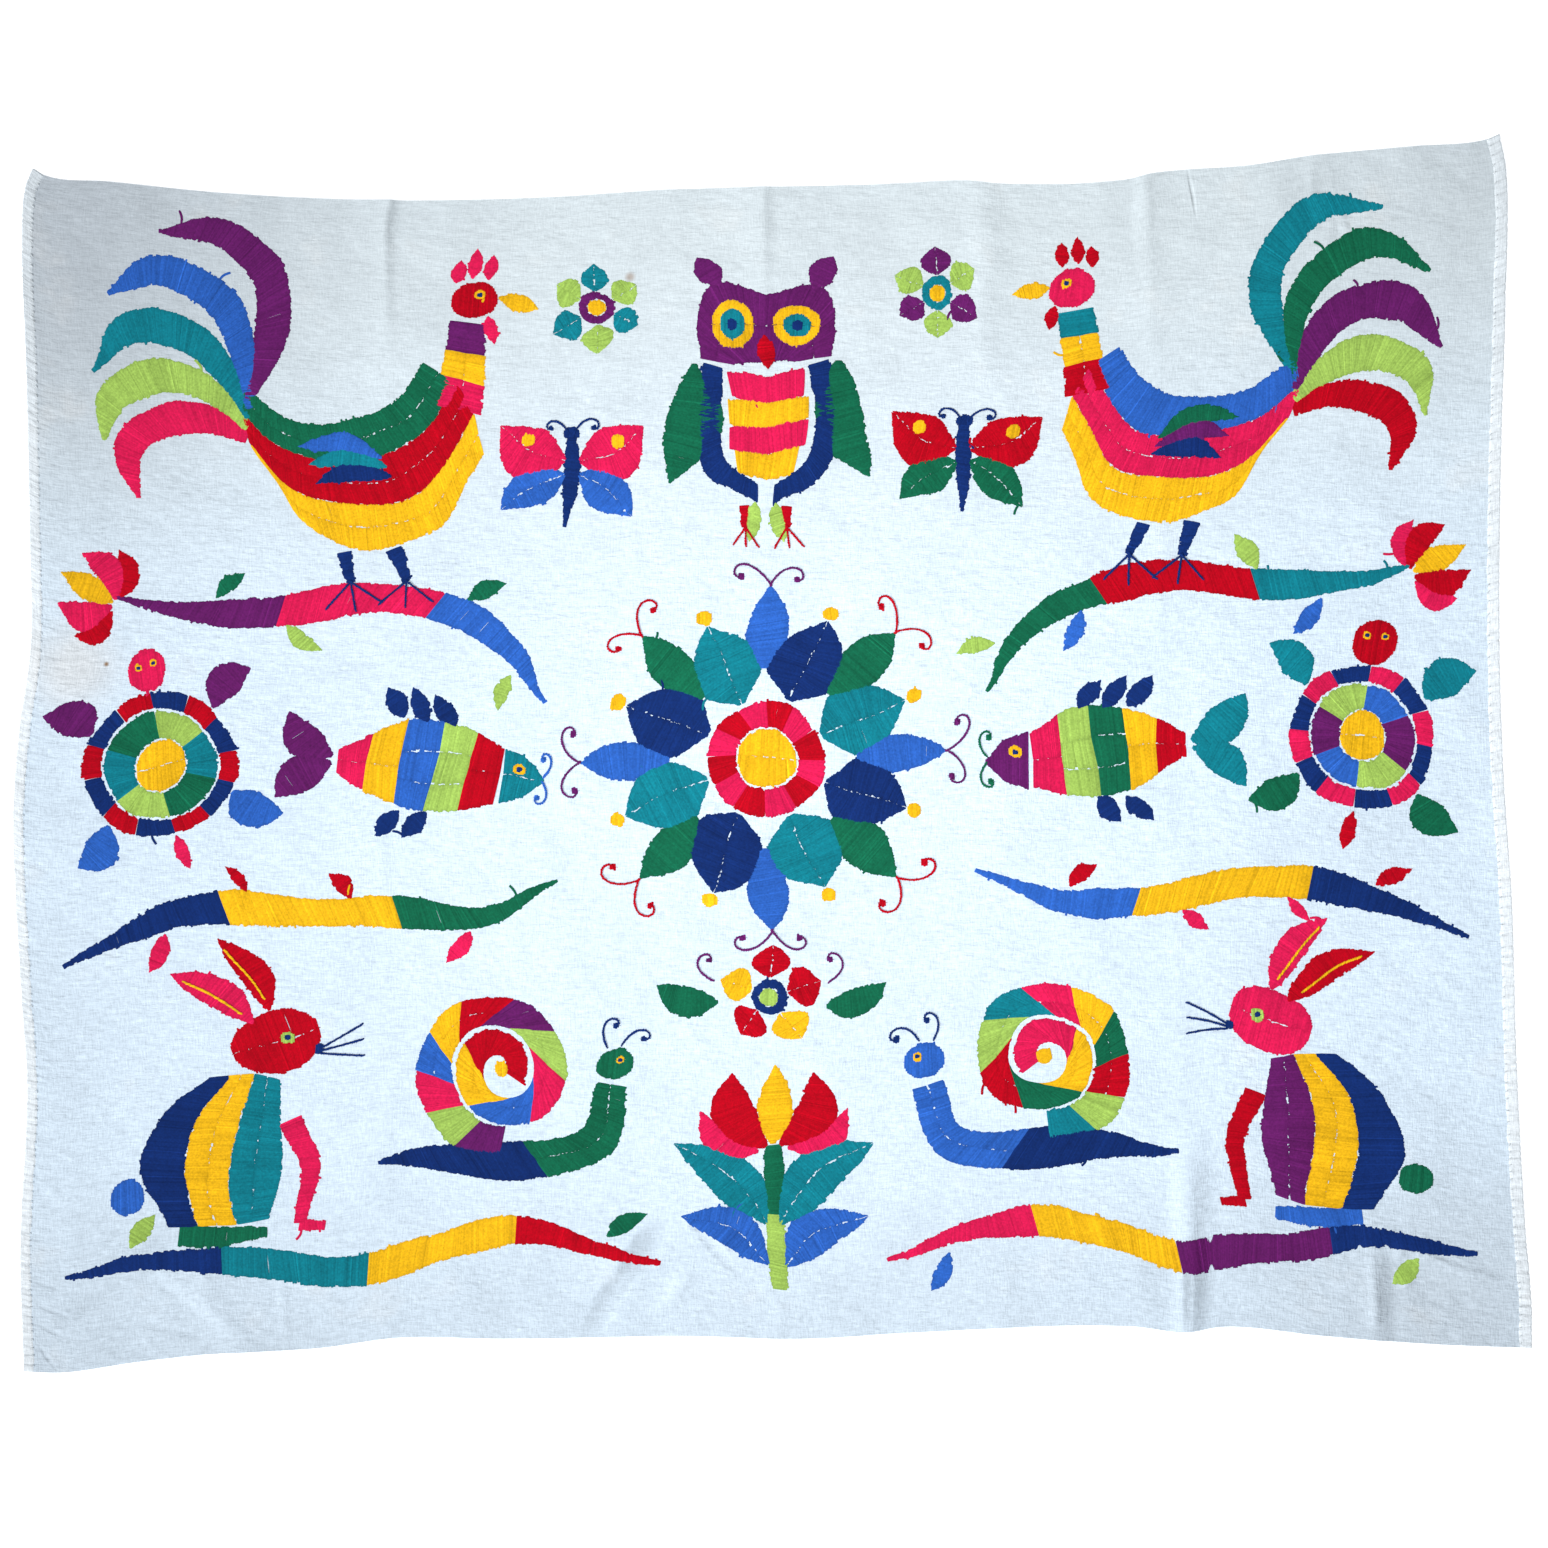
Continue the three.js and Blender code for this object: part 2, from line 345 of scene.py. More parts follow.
def new_material(name):
    material = bpy.data.materials.new(name)
    material.use_nodes = True
    material.node_tree.nodes.clear()
    nodes = Nodes(material.node_tree)
    shader = nodes.add("ShaderNodeBsdfPrincipled")
    nodes.add("ShaderNodeOutputMaterial", {}, {"Surface": shader.outputs[0]})
    return material, nodes, shader


# Names of the attributes that the meshes carry
FLAT_PLACE = "flat_place"
PINCH = "pinch"
SHADE = "shade"
ALONG = "along"


def near(nodes, x, y, spot, reach):
    """1 at a spot of the sheet and 0 beyond its reach, all in metres."""
    squared = (x - spot[0]) ** 2 + (y - spot[1]) ** 2
    return 1 - (squared ** 0.5).step(reach * 0.15, reach)


def stains_and_shade(nodes, x, y, rows):
    """How strong the patches are at each place, from rows of a spot, its reach and its strength: partly
    painted shade for the grey patches, and stains for the others.
    """
    return sum(near(nodes, x, y, spot, reach) * strength for spot, reach, strength in rows)


def thin_crease(nodes, place, row):
    """The rise of a thin crease, which fades towards its sides and its ends, in metres."""
    start, end, reach, rise = row
    run = np.array(end) - start
    middle = (np.array(end) + start) / 2 * MM
    sizes = (math.hypot(*run) * 0.55 * MM, reach * MM, 1.0)
    own = nodes.add("ShaderNodeMapping", {"vector_type": "TEXTURE"}, {
        "Vector": place, "Location": (*middle, 0.0), "Rotation": (0.0, 0.0, math.atan2(run[1], run[0])),
        "Scale": sizes,
    })
    away = nodes.value("ShaderNodeVectorMath", {"operation": "LENGTH"}, {0: own.outputs[0]}, output=1)
    fall = {"Value": away, "From Min": 1.0, "From Max": 0.1, "To Max": rise * MM}
    return nodes.value("ShaderNodeMapRange", {"interpolation_type": "SMOOTHSTEP"}, fall)


def cotton_material(name, colour, settings, shade_and_grey=1.0):
    """Plain-woven cotton with slubs and creases. Painted shade makes it darker and greyer towards the
    top. It is greyer towards the corners and edges, partly from painted shade and partly as greyer
    cotton. It is beige and brown where stained. Painted shade darkens its thin hollows and pinches, and
    painted light brightens its thin ridges.
    """
    material, nodes, shader = new_material(name)
    place = nodes.add("ShaderNodeAttribute", {"attribute_name": FLAT_PLACE}).outputs["Vector"]
    # The pinch of a hem carries painted shade into the colour
    pinch = nodes.value("ShaderNodeAttribute", {"attribute_name": PINCH}, output=2)
    split = nodes.add("ShaderNodeSeparateXYZ", {}, {0: place})
    x = Value(nodes, split.outputs[0])
    y = Value(nodes, split.outputs[1])

    weft = nodes.noise(nodes.stretched(place, 90, 620), 1, 2, 0.6)
    warp = nodes.noise(nodes.stretched(place, 620, 90), 1, 2, 0.6)
    slubs = nodes.noise(nodes.stretched(place, 55, 240), 1, 2, 0.5)
    broad = nodes.noise(place, 2.4, 3, 0.55)
    patches = nodes.noise(place, 11, 3, 0.6)

    # Painted shade: the cotton turns darker and greyer towards the top edge
    top_shade = (y.step(0.05, 0.6) * 0.9 * shade_and_grey).clamped()
    top_shaded = nodes.mix(top_shade, colour, settings.top_shaded)
    left_side = x.step(-0.47, -0.87)
    lower_edge = y.step(-0.4, -0.66)
    # Partly painted shade: the cotton is greyer towards the corners and the left and lower edges, partly
    # as greyer cotton, with grey tone that differs at random
    grey = stains_and_shade(nodes, x, y, GREY_PATCHES) + left_side * 0.12 + lower_edge * 0.26
    grey_and_shade = nodes.mix(((grey + (broad - 0.5) * 0.6) * shade_and_grey).clamped(), top_shaded, settings.grey_and_shade)
    beige = patches.step(0.58, 0.78) * 0.16 + stains_and_shade(nodes, x, y, BEIGE_PATCHES)
    aged = nodes.mix(beige.clamped(), grey_and_shade, settings.aged)
    spotted = nodes.mix(stains_and_shade(nodes, x, y, BROWN_SPOTS).clamped(), aged, settings.spots)
    creases = sum(thin_crease(nodes, place, row) for row in THIN_CREASES)
    threads = (weft + warp - 1) * 0.46 + (slubs - 0.5) * 0.26
    mottle = 1 + threads * (1 - top_shade * 0.35) + (patches - 0.5) * 0.16
    # Painted shade darkens the hollows of the thin creases and painted light brightens their ridges
    coloured = nodes.scaled(spotted, mottle * (1 + creases * CREASE_SHADE) * (1 - pinch * 0.22))
    # Painted shade: the cotton is darker in each pinch of a hem

    crinkle = nodes.noise(nodes.stretched(place, 50, 150), 1, 3, 0.55)
    waves = nodes.noise(nodes.stretched(place, 11, 17), 1, 2, 0.5)
    fine = (weft + warp) * settings.grain + crinkle * (0.4 + patches * 1.3) * settings.crinkle
    rise = fine * (1.25 - top_shade * 0.5) + waves * settings.crinkle * 3.0 + creases
    bump = nodes.add("ShaderNodeBump", {}, {"Strength": 1.0, "Distance": 1.0, "Height": rise})
    nodes.feed(shader, {
        "Base Color": coloured,
        "Roughness": 0.92,
        "Specular IOR Level": 0.2,
        "Normal": bump.outputs[0],
    })
    return material


def thread_material(name, colour):
    """Soft cotton thread: each stitch has its own tone, with painted sheen on a few, and painted shade
    darkens it where it enters the cloth.
    """
    material, nodes, shader = new_material(name)
    shade = nodes.value("ShaderNodeAttribute", {"attribute_name": SHADE}, output=2)
    along = nodes.value("ShaderNodeAttribute", {"attribute_name": ALONG}, output=2)
    place = nodes.add("ShaderNodeTexCoord").outputs["Object"]
    fibres = nodes.noise(place, 430, 2, 0.6)
    clumps = nodes.noise(place, 120, 2, 0.6)
    patches = nodes.noise(place, 26, 2, 0.5)
    # Painted shade: the colour darkens towards both ends of a stitch, where it dives into the cloth
    ends = (1 - along * (1 - along) * 4) ** 5
    deep = (*(part * 0.38 for part in tuple(colour)[:3]), 1.0)
    base = nodes.scaled(colour, shade * (0.22 + fibres * 0.7 + clumps * 0.26 + patches * 0.28))
    height = fibres * 0.7 + clumps * 0.5
    bump = nodes.add("ShaderNodeBump", {}, {"Strength": 0.8, "Distance": 0.0005, "Height": height})
    nodes.feed(shader, {
        "Base Color": nodes.mix(ends * 0.42, base, deep),
        "Roughness": 0.6 + fibres * 0.3,
        "Specular IOR Level": 0.06,
        "Normal": bump.outputs[0],
    })
    return material


# The shape of the resting cloth


def smooth_table(rows):
    """A smooth function through the rows of a table of shares and lengths."""
    along, inset = np.array(rows, dtype=float).T
    slopes = np.diff(inset) / np.diff(along)
    tangents = np.concatenate([slopes[:1], (slopes[1:] + slopes[:-1]) / 2, slopes[-1:]])

    def curve(share):
        index = np.clip(np.searchsorted(along, share, "right") - 1, 0, len(along) - 2)
        step = along[index + 1] - along[index]
        p = (share - along[index]) / step
        from_ends = inset[index] * (1 + 2 * p) * (1 - p) ** 2 + inset[index + 1] * p * p * (3 - 2 * p)
        from_slopes = tangents[index] * p * (1 - p) ** 2 - tangents[index + 1] * p * p * (1 - p)
        return from_ends + from_slopes * step

    return curve


def between(low, high, share):
    return low + (high - low) * share


def smooth_step(value, width):
    share = np.clip(value / width, 0, 1)
    return share * share * (3 - 2 * share)


def ripple(x, y, wave, seed, waves=7):
    """Soft waves of about the given length over a sheet, mostly between -1 and 1."""
    chance = np.random.default_rng(seed)
    total = 0
    for _ in range(waves):
        turn = chance.uniform(0, 2 * math.pi)
        reach = wave * chance.uniform(0.7, 1.6)
        phase = chance.uniform(0, 2 * math.pi)
        total = total + np.sin((x * math.cos(turn) + y * math.sin(turn)) * 2 * math.pi / reach + phase)
    return total / math.sqrt(waves)


class LaidSheet:
    """Where each point of the flat sheet comes to rest. Its lengths are in millimetres."""

    def __init__(self, settings):
        self.thickness = settings.thickness / MM
        self.ripple = settings.ripple / MM
        self.inset = [smooth_table(rows) for rows in (TOP_EDGE, BOTTOM_EDGE, LEFT_EDGE, RIGHT_EDGE)]
        self.width = (TOP_RIGHT[0] - TOP_LEFT[0] + BOTTOM_RIGHT[0] - BOTTOM_LEFT[0]) / 2
        self.height = (TOP_LEFT[1] - BOTTOM_LEFT[1] + TOP_RIGHT[1] - BOTTOM_RIGHT[1]) / 2
        rim = np.linspace(0, 1, 600)
        low, high = rim * 0, rim * 0 + 1
        sides = ((rim, low), (rim, high), (low, rim), (high, rim))
        outline = np.hstack([self.spread(across, down) for across, down in sides])
        self.middle = (outline.min(axis=1) + outline.max(axis=1)) / 2

    def spread(self, across, down):
        """The place on the floor of a point of the sheet, from its shares of width and height."""
        top, bottom, left, right = self.inset
        top_x = between(TOP_LEFT[0], TOP_RIGHT[0], across)
        bottom_x = between(BOTTOM_LEFT[0], BOTTOM_RIGHT[0], across)
        top_y = between(TOP_LEFT[1], TOP_RIGHT[1], across) - top(across)
        bottom_y = between(BOTTOM_LEFT[1], BOTTOM_RIGHT[1], across) + bottom(across)
        side = left(down) * (1 - across) ** 2 - right(down) * across ** 2
        return np.array([between(top_x, bottom_x, down) + side, between(top_y, bottom_y, down)])

    def fold(self, across, down, row, sharp):
        start, end, *reaches, rise, fade = row
        size = np.array([self.width, self.height])
        start, end = np.array(start) * size, np.array(end) * size
        run = end - start
        length = math.hypot(*run)
        x, y = across * self.width - start[0], down * self.height - start[1]
        share = np.clip((x * run[0] + y * run[1]) / length ** 2, 0, 1)
        on_left = run[0] * y > run[1] * x
        reach = np.where(on_left, reaches[0], reaches[-1])
        aside = np.minimum(1, np.hypot(x - share * run[0], y - share * run[1]) / reach)
        faded = smooth_step(np.minimum(share, 1 - share) * length, fade)
        if sharp:
            to_top = np.exp(-np.maximum(down, 0) * self.height / 90)
            return rise * (1 - aside) ** 2 * faded * (0.2 + 0.9 * to_top)
        return rise * (1 + np.cos(math.pi * aside)) / 2 * faded * 0.6

    def lift(self, across, down):
        """How far the underside stands above the floor."""
        x, y = across * self.width, down * self.height
        waves = ripple(x, y, wave=210, seed=3) * 0.7 + ripple(x, y, wave=70, seed=4) * 0.3
        soft = np.maximum(0, waves - 0.1) * self.ripple
        to_free_edge = np.minimum(down, 1 - down) * self.height
        curl = np.maximum(0, ripple(x, y * 0.3, wave=90, seed=5)) * 1.4 * np.exp(-to_free_edge / 45)
        folds = [self.fold(across, down, row, True) for row in CREASES]
        folds += [self.fold(across, down, row, False) for row in ROUND_FOLDS]
        return np.max(folds, axis=0) + soft + curl

    def on_top(self, flat, above=0.0):
        """Points of the flat sheet, in its own millimetres, as places on the cloth in metres."""
        across = flat[..., 0] / self.width + 0.5
        down = 0.5 - flat[..., 1] / self.height
        x, y = self.spread(np.clip(across, 0, 1), np.clip(down, 0, 1))
        z = self.lift(across, down) + self.thickness + above
        return np.stack([x - self.middle[0], y - self.middle[1], z], axis=-1) * MM


# Meshes


def new_object(name, data):
    """A mesh, a light or a camera as an object in the scene."""
    made = bpy.data.objects.new(name, data)
    bpy.context.scene.collection.objects.link(made)
    return made


def solid_mesh(name, points, faces, flat_places=None):
    mesh = bpy.data.meshes.new(name)
    mesh.from_pydata(points.tolist(), [], faces.tolist())
    mesh.shade_smooth()
    mesh.set_sharp_from_angle(angle=math.radians(55))
    if flat_places is not None:
        store = mesh.attributes.new(FLAT_PLACE, "FLOAT_VECTOR", "POINT")
        store.data.foreach_set("vector", np.asarray(flat_places, dtype=np.float32).ravel())
    mesh.update()
    return mesh


def path_mesh(name, paths, shades):
    """A wire mesh with a path for each stitch, and a shade for each path."""
    mesh = bpy.data.meshes.new(name)
    counts = [len(path) for path in paths]
    points = np.concatenate(paths)
    ends = np.cumsum(counts) - 1
    first = np.setdiff1d(np.arange(len(points)), ends)
    mesh.vertices.add(len(points))
    mesh.vertices.foreach_set("co", points.astype(np.float32).ravel())
    mesh.edges.add(len(first))
    mesh.edges.foreach_set("vertices", np.column_stack([first, first + 1]).ravel())
    store = mesh.attributes.new(SHADE, "FLOAT", "POINT")
    store.data.foreach_set("value", np.repeat(shades, counts).astype(np.float32))
    mesh.update()
    return mesh


def grow(piece, tree, values):
    """Runs a tree of Geometry Nodes on a piece and keeps its result as the piece's plain mesh."""
    modifier = piece.modifiers.new(tree.name, "NODES")
    modifier.node_group = tree
    for item in tree.interface.items_tree:
        if item.in_out == "INPUT" and item.name in values:
            modifier[item.identifier] = values[item.name]
    graph = bpy.context.evaluated_depsgraph_get()
    grown = bpy.data.meshes.new_from_object(piece.evaluated_get(graph))
    grown.set_sharp_from_angle(angle=math.radians(55))
    paths = piece.data
    piece.modifiers.clear()
    piece.data = grown
    grown.name = piece.name
    bpy.data.meshes.remove(paths)


def close_lines(count, spots, length, spacing, reach):
    """Even grid lines from 0 to 1, closer together within reach of some spots."""
    even = np.linspace(0, 1, count + 1)
    for spot in spots:
        low = max(0.0, spot - reach / length)
        high = min(1.0, spot + reach / length)
        fine = np.linspace(low, high, max(2, round((high - low) * length / spacing)) + 1)
        apart = spacing / length * 0.6
        even = even[(even < low - apart) | (even > high + apart) | (even == 0) | (even == 1)]
        even = np.union1d(even, fine)
    return even


# How far the fine grid reaches from a quarter crease and from a free edge, and how far the sheet's
# sides lie inside the outer edges of its hems
CREASE_REACH = 17
EDGE_REACH = 20
SIDE_TUCK = 1.5


def make_sheet(sheet, settings):
    """The woven sheet: an upper and a lower skin on one grid, closed by a rim."""
    spacing = settings.spacing / MM
    fine = settings.fine_spacing / MM
    tuck = SIDE_TUCK / sheet.width
    columns = close_lines(round(sheet.width / spacing), QUARTERS, sheet.width, fine, CREASE_REACH)
    columns = columns * (1 - 2 * tuck) + tuck
    rows = close_lines(round(sheet.height / spacing), (0.0, 1.0), sheet.height, fine, EDGE_REACH)
    across, down = np.meshgrid(columns, rows)
    flat = np.stack([(across - 0.5) * sheet.width, (0.5 - down) * sheet.height], axis=-1)
    top = sheet.on_top(flat).reshape(-1, 3)
    under = sheet.on_top(flat, -sheet.thickness).reshape(-1, 3)
    count = len(columns)
    total = len(top)
    corner = (np.arange(len(rows) - 1)[:, None] * count + np.arange(count - 1)).ravel()
    upper = np.column_stack([corner, corner + count, corner + count + 1, corner + 1])
    lower = upper[:, ::-1] + total
    grid = np.arange(total).reshape(len(rows), count)
    rim = np.concatenate([grid[0, ::-1], grid[1:, 0], grid[-1, 1:], grid[-2:0:-1, -1]])
    ahead = np.roll(rim, -1)
    sides = np.column_stack([ahead, rim, rim + total, ahead + total])
    flat_places = np.concatenate([flat.reshape(-1, 2), flat.reshape(-1, 2)]) * MM
    flat_places = np.column_stack([flat_places, np.zeros(len(flat_places))])
    faces = np.concatenate([upper, lower, sides])
    return solid_mesh("sheet", np.concatenate([top, under]), faces, flat_places)


# Section of a turned hem, as rows of the share of its width from the outer edge, and its height
HEM_SECTION = (
    (-0.01, 0.25), (0.0, 0.7), (0.03, 0.93), (0.12, 1.0), (0.4, 0.97), (0.7, 1.0), (0.88, 0.98),
    (1.0, 0.8), (1.06, 0.6), (0.95, 0.04), (0.5, 0.02), (0.05, 0.04),
)
HEM_STEP = 1.8

# The gaps between two sewing stitches down a hem, and how wide a stitch draws the hem in
PINCH_GAPS = {"left": (5.5, 11), "right": (6, 14)}
PINCH_WIDTH = 1.1

# The weave of a hem is read this far above the weave of the sheet, so that the two differ
HEM_WEAVE = 0.01


def pinch_places(side, length, chance):
    """How far down a hem each of its sewing stitches lies."""
    gaps = chance.uniform(*PINCH_GAPS[side], size=400)
    places = np.cumsum(gaps)
    return places[places < length]


def make_hem(side, sheet, settings, pinches, chance):
    """A turned hem: a flat tube down one side of the sheet, drawn in at each sewing stitch."""
    width = HEM_WIDTHS[side]
    height = settings.hem_height / MM
    inward = 1 if side == "left" else -1
    edge_x = -sheet.width / 2 * inward
    steps = round(sheet.height / HEM_STEP)
    down = np.linspace(0, 1, steps + 1)[:, None] * sheet.height
    share, rise = np.array(HEM_SECTION).T
    inside = share * width
    slant = chance.normal(0.12, 0.14, len(pinches))
    depth = chance.uniform(0.25, 0.8, len(pinches)) + 0.3 * pinches / sheet.height
    drawn = np.zeros((steps + 1, len(share)))
    for place, lean, deep in zip(pinches, slant, depth):
        away = down - place - (inside - width / 2) * lean
        drawn = np.maximum(drawn, deep * np.exp(-(away / PINCH_WIDTH) ** 2))
    wobble = ripple(down, inside, wave=34, seed=21) * 0.35 + ripple(down, inside, wave=11, seed=22) * 0.15
    out = drawn * np.where(share < 0.5, 1.8 * (0.5 - share), 0.6 * (0.5 - share))
    x = edge_x + inward * (inside + out + wobble * (0.4 + 0.6 * share))
    flat = np.stack([x, sheet.height / 2 - down + share * 0], axis=-1)
    points = sheet.on_top(flat, -sheet.thickness)
    lifted = height * rise * (1 - 0.28 * drawn * (rise > 0.5)) + wobble * 0.2 * rise
    points[..., 2] += lifted * MM
    flat_places = np.concatenate([flat * MM, HEM_WEAVE + lifted[..., None] * MM], axis=-1)
    around = len(share)
    ring = np.arange(around)
    low = (np.arange(steps)[:, None] * around + ring).ravel()
    turn = (np.arange(steps)[:, None] * around + np.roll(ring, -1)).ravel()
    walls = np.column_stack([low, low + around, turn + around, turn])
    if inward < 0:
        walls = walls[:, ::-1]
    mesh = solid_mesh(f"{side}_hem", points.reshape(-1, 3), walls, flat_places.reshape(-1, 3))
    # How far each place is drawn in, kept for the painted shade in the pinches
    store = mesh.attributes.new(PINCH, "FLOAT", "POINT")
    store.data.foreach_set("value", (drawn * (rise > 0.5)).astype(np.float32).ravel())
    return close_ends(mesh)


def close_ends(mesh):
    """Fills the open ends of a tube and turns all its faces outwards."""
    work = bmesh.new()
    work.from_mesh(mesh)
    bmesh.ops.holes_fill(work, edges=[edge for edge in work.edges if edge.is_boundary], sides=0)
    bmesh.ops.recalc_face_normals(work, faces=work.faces)
    work.to_mesh(mesh)
    work.free()
    return mesh


# The stitched pattern, drawn on the flat sheet in millimetres


def curve_through(points):
    """A smooth run of closely spaced points through the given ones."""
    knots = np.asarray(points, dtype=float)
    if len(knots) < 3:
        return knots
    padded = np.vstack([2 * knots[:1] - knots[1:2], knots, 2 * knots[-1:] - knots[-2:-1]])
    share = np.linspace(0, 1, 12, endpoint=False)[:, None]
    pieces = []
    for p0, p1, p2, p3 in zip(padded, padded[1:], padded[2:], padded[3:]):
        bend = 2 * p1 + (p2 - p0) * share + (2 * p0 - 5 * p1 + 4 * p2 - p3) * share ** 2
        pieces.append((bend + (3 * p1 - p0 - 3 * p2 + p3) * share ** 3) / 2)
    return np.vstack([*pieces, knots[-1:]])


def run_lengths(points):
    return np.concatenate([[0], np.cumsum(np.linalg.norm(np.diff(points, axis=0), axis=1))])


def at_shares(points, shares):
    """The points at some shares of a run's length."""
    length = run_lengths(points)
    at = np.clip(shares, 0, 1) * length[-1]
    return np.column_stack([np.interp(at, length, points[:, axis]) for axis in (0, 1)])


def evenly(points, count):
    return at_shares(curve_through(points), np.linspace(0, 1, count))


def beside(points):
    """Unit vectors to the left of each point of a run."""
    ahead = np.gradient(points, axis=0)
    ahead /= np.linalg.norm(ahead, axis=1)[:, None]
    return np.column_stack([-ahead[:, 1], ahead[:, 0]])


def turned(degrees):
    """The unit vector at an angle from the X axis."""
    return np.array([math.cos(math.radians(degrees)), math.sin(math.radians(degrees))])


def spun(points, degrees):
    """Points turned about the origin."""
    across = turned(degrees)
    return np.asarray(points, dtype=float) @ np.array([across, [-across[1], across[0]]])


def bent(base, tip, bend):
    """A base, a middle and a tip. The middle lies to the left by a share of the length."""
    base, tip = np.array(base, dtype=float), np.array(tip, dtype=float)
    return [base, (base + tip) / 2 + spun([tip - base], 90)[0] * bend, tip]


def hand_drawn(points):
    """Points moved a little, as a pattern drawn by hand wanders."""
    x, y = points.T
    dx = 2.4 * np.sin(x / 47 + y / 31 + 1.3) + 1.5 * np.sin(x / 17 - y / 21 + 4.1)
    dy = 2.4 * np.sin(y / 43 - x / 37 + 0.4) + 1.5 * np.sin(y / 16 + x / 23 + 2.2)
    return np.column_stack([x + dx, y + dy])


# The points along a band's sides, the gap between two rows of stitches, how far a shape on another
# is raised, and the longest stitch
RAIL_STEPS = 60
ROW_GAP = 0.32
LAYER_RISE = 0.5
LONGEST_STITCH = 42


def widths_along(widths):
    """The width at each point along a band, on a smooth curve through the given widths."""
    along = np.linspace(0, 1, len(widths)) * 1000
    profile = curve_through(np.column_stack([along, widths]))
    return np.interp(np.linspace(0, 1000, RAIL_STEPS), *profile.T)


class Pattern:
    """Shapes filled with laid stitches, and lines of stem stitches."""

    def __init__(self, pitch, stem):
        self.pitch = pitch
        self.stem = stem
        self.fills = []
        self.lines = []
        self.start_at()

    def start_at(self, x=0, y=0, size=1, turn=0, flip=False, swap=None):
        """Where the next shapes go, how large and how turned, and which threads take turns."""
        self.basis = spun(np.eye(2), turn) * size
        if flip:
            self.basis = self.basis * [-1, 1]
        self.spot = np.array([x, y])
        self.swap = swap or {}

    def laid(self, points):
        return np.asarray(points, dtype=float) @ self.basis + self.spot

    def rows(self, thread, start, end, layer):
        """Stitches between two sides, in as many rows as their length needs."""
        span = np.linalg.norm(end - start, axis=1)
        count = max(1, math.ceil(np.median(span) / LONGEST_STITCH))
        gap = (ROW_GAP / 2 / np.maximum(span, 1))[:, None]
        for row in range(count):
            low = row / count + gap
            high = (row + 1) / count - gap
            stitches = (between(start, end, low), between(start, end, high))
            self.fills.append((self.swap.get(thread, thread), *map(hand_drawn, stitches), layer))

    def fill(self, thread, side_a, side_b, layer=0):
        """Stitches laid from one side of a shape to the other, at a slant that wanders."""
        a = curve_through(self.laid(side_a))
        b = curve_through(self.laid(side_b))
        longest = max(run_lengths(a)[-1], run_lengths(b)[-1])
        count = max(3, round(longest / self.pitch))
        shares = (np.arange(count) + 0.5) / count
        phase = a[0].sum() * 0.13
        lean = np.sin(shares * longest / 55 + phase) * np.sin(shares * math.pi) * 4 / longest
        self.rows(thread, at_shares(a, shares), at_shares(b, shares + lean), layer)

    def ribbon(self, threads, spine, widths, shares=None, layer=0):
        """A band along a spine, in one thread or in several lengths of thread."""
        threads = [threads] if isinstance(threads, str) else threads
        shares = shares or [(index + 1) / len(threads) for index in range(len(threads))]
        middle = evenly(spine, RAIL_STEPS)
        half = beside(middle) * np.maximum(widths_along(widths), 0.3)[:, None] / 2
        apart = 1 / run_lengths(middle)[-1]
        start = 0
        for thread, end in zip(threads, shares):
            part = np.linspace(start, end, 24)
            self.fill(thread, at_shares(middle + half, part), at_shares(middle - half, part), layer)
            start = end + apart

    def leaf(self, thread, base, tip, width, bend=0, layer=0):
        widths = np.array([0.12, 0.8, 1, 0.72, 0.04]) * width
        self.ribbon(thread, bent(base, tip, bend), widths, layer=layer)

    def petal(self, thread, base, tip, width, bend=0):
        """A wide leaf, stitched in two halves from its vein."""
        spine = evenly(bent(base, tip, bend), RAIL_STEPS)
        widths = np.array([0.1, 0.85, 1, 0.7, 0.03]) * width / 2
        half = beside(spine) * widths_along(widths)[:, None]
        vein = beside(spine) * ROW_GAP / 2
        self.fill(thread, spine + vein, spine + vein + half)
        self.fill(thread, spine - vein, spine - vein - half)

    def disc(self, thread, centre, width, height=None, turn=0, layer=0):
        """A round or oval dot."""
        height = height or width
        steps = np.linspace(-1, 1, max(5, round(width / self.pitch)))
        arc = np.sqrt(np.maximum(1 - steps ** 2, 0)) * 0.985 + 0.015
        top = spun(np.column_stack([steps * width / 2, arc * height / 2]), turn) + centre
        low = spun(np.column_stack([steps * width / 2, -arc * height / 2]), turn) + centre
        self.rows(thread, self.laid(top), self.laid(low), layer)

    def ring(self, threads, inner, outer, start=0, sweep=360):
        """Stitches that point out from the middle, in sectors of thread."""
        each = sweep / len(threads)
        for index, thread in enumerate(threads):
            first = start + index * each
            angles = np.linspace(first + 0.6, first + each - 0.6, 24)
            out = np.array([turned(angle) for angle in angles])
            self.fill(thread, out * inner, out * outer)

    def line(self, thread, points, layer=0):
        """A thin line of stem stitches."""
        laid = hand_drawn(curve_through(self.laid(points)))
        count = max(2, round(run_lengths(laid)[-1] / self.stem))
        run = at_shares(laid, np.linspace(0, 1, count))
        self.lines.append((self.swap.get(thread, thread), run, layer))

    def tendril(self, thread, start, heading, reach, curl=1):
        """A thin line that runs out, rolls up and ends in a dot."""
        steps = 26
        spot = np.array(start, dtype=float)
        points = [spot]
        for step in range(steps):
            share = step / steps
            heading += curl * (3 + 21 * share ** 1.6)
            spot = spot + turned(heading) * reach / steps * (1.25 - 0.75 * share)
            points.append(spot)
        self.line(thread, points)
        self.disc(thread, points[-1], 7)

    def eye(self, centre, size, white="yellow"):
        self.disc(white, centre, size, layer=1)
        self.disc("navy", centre, size * 0.45, layer=2)


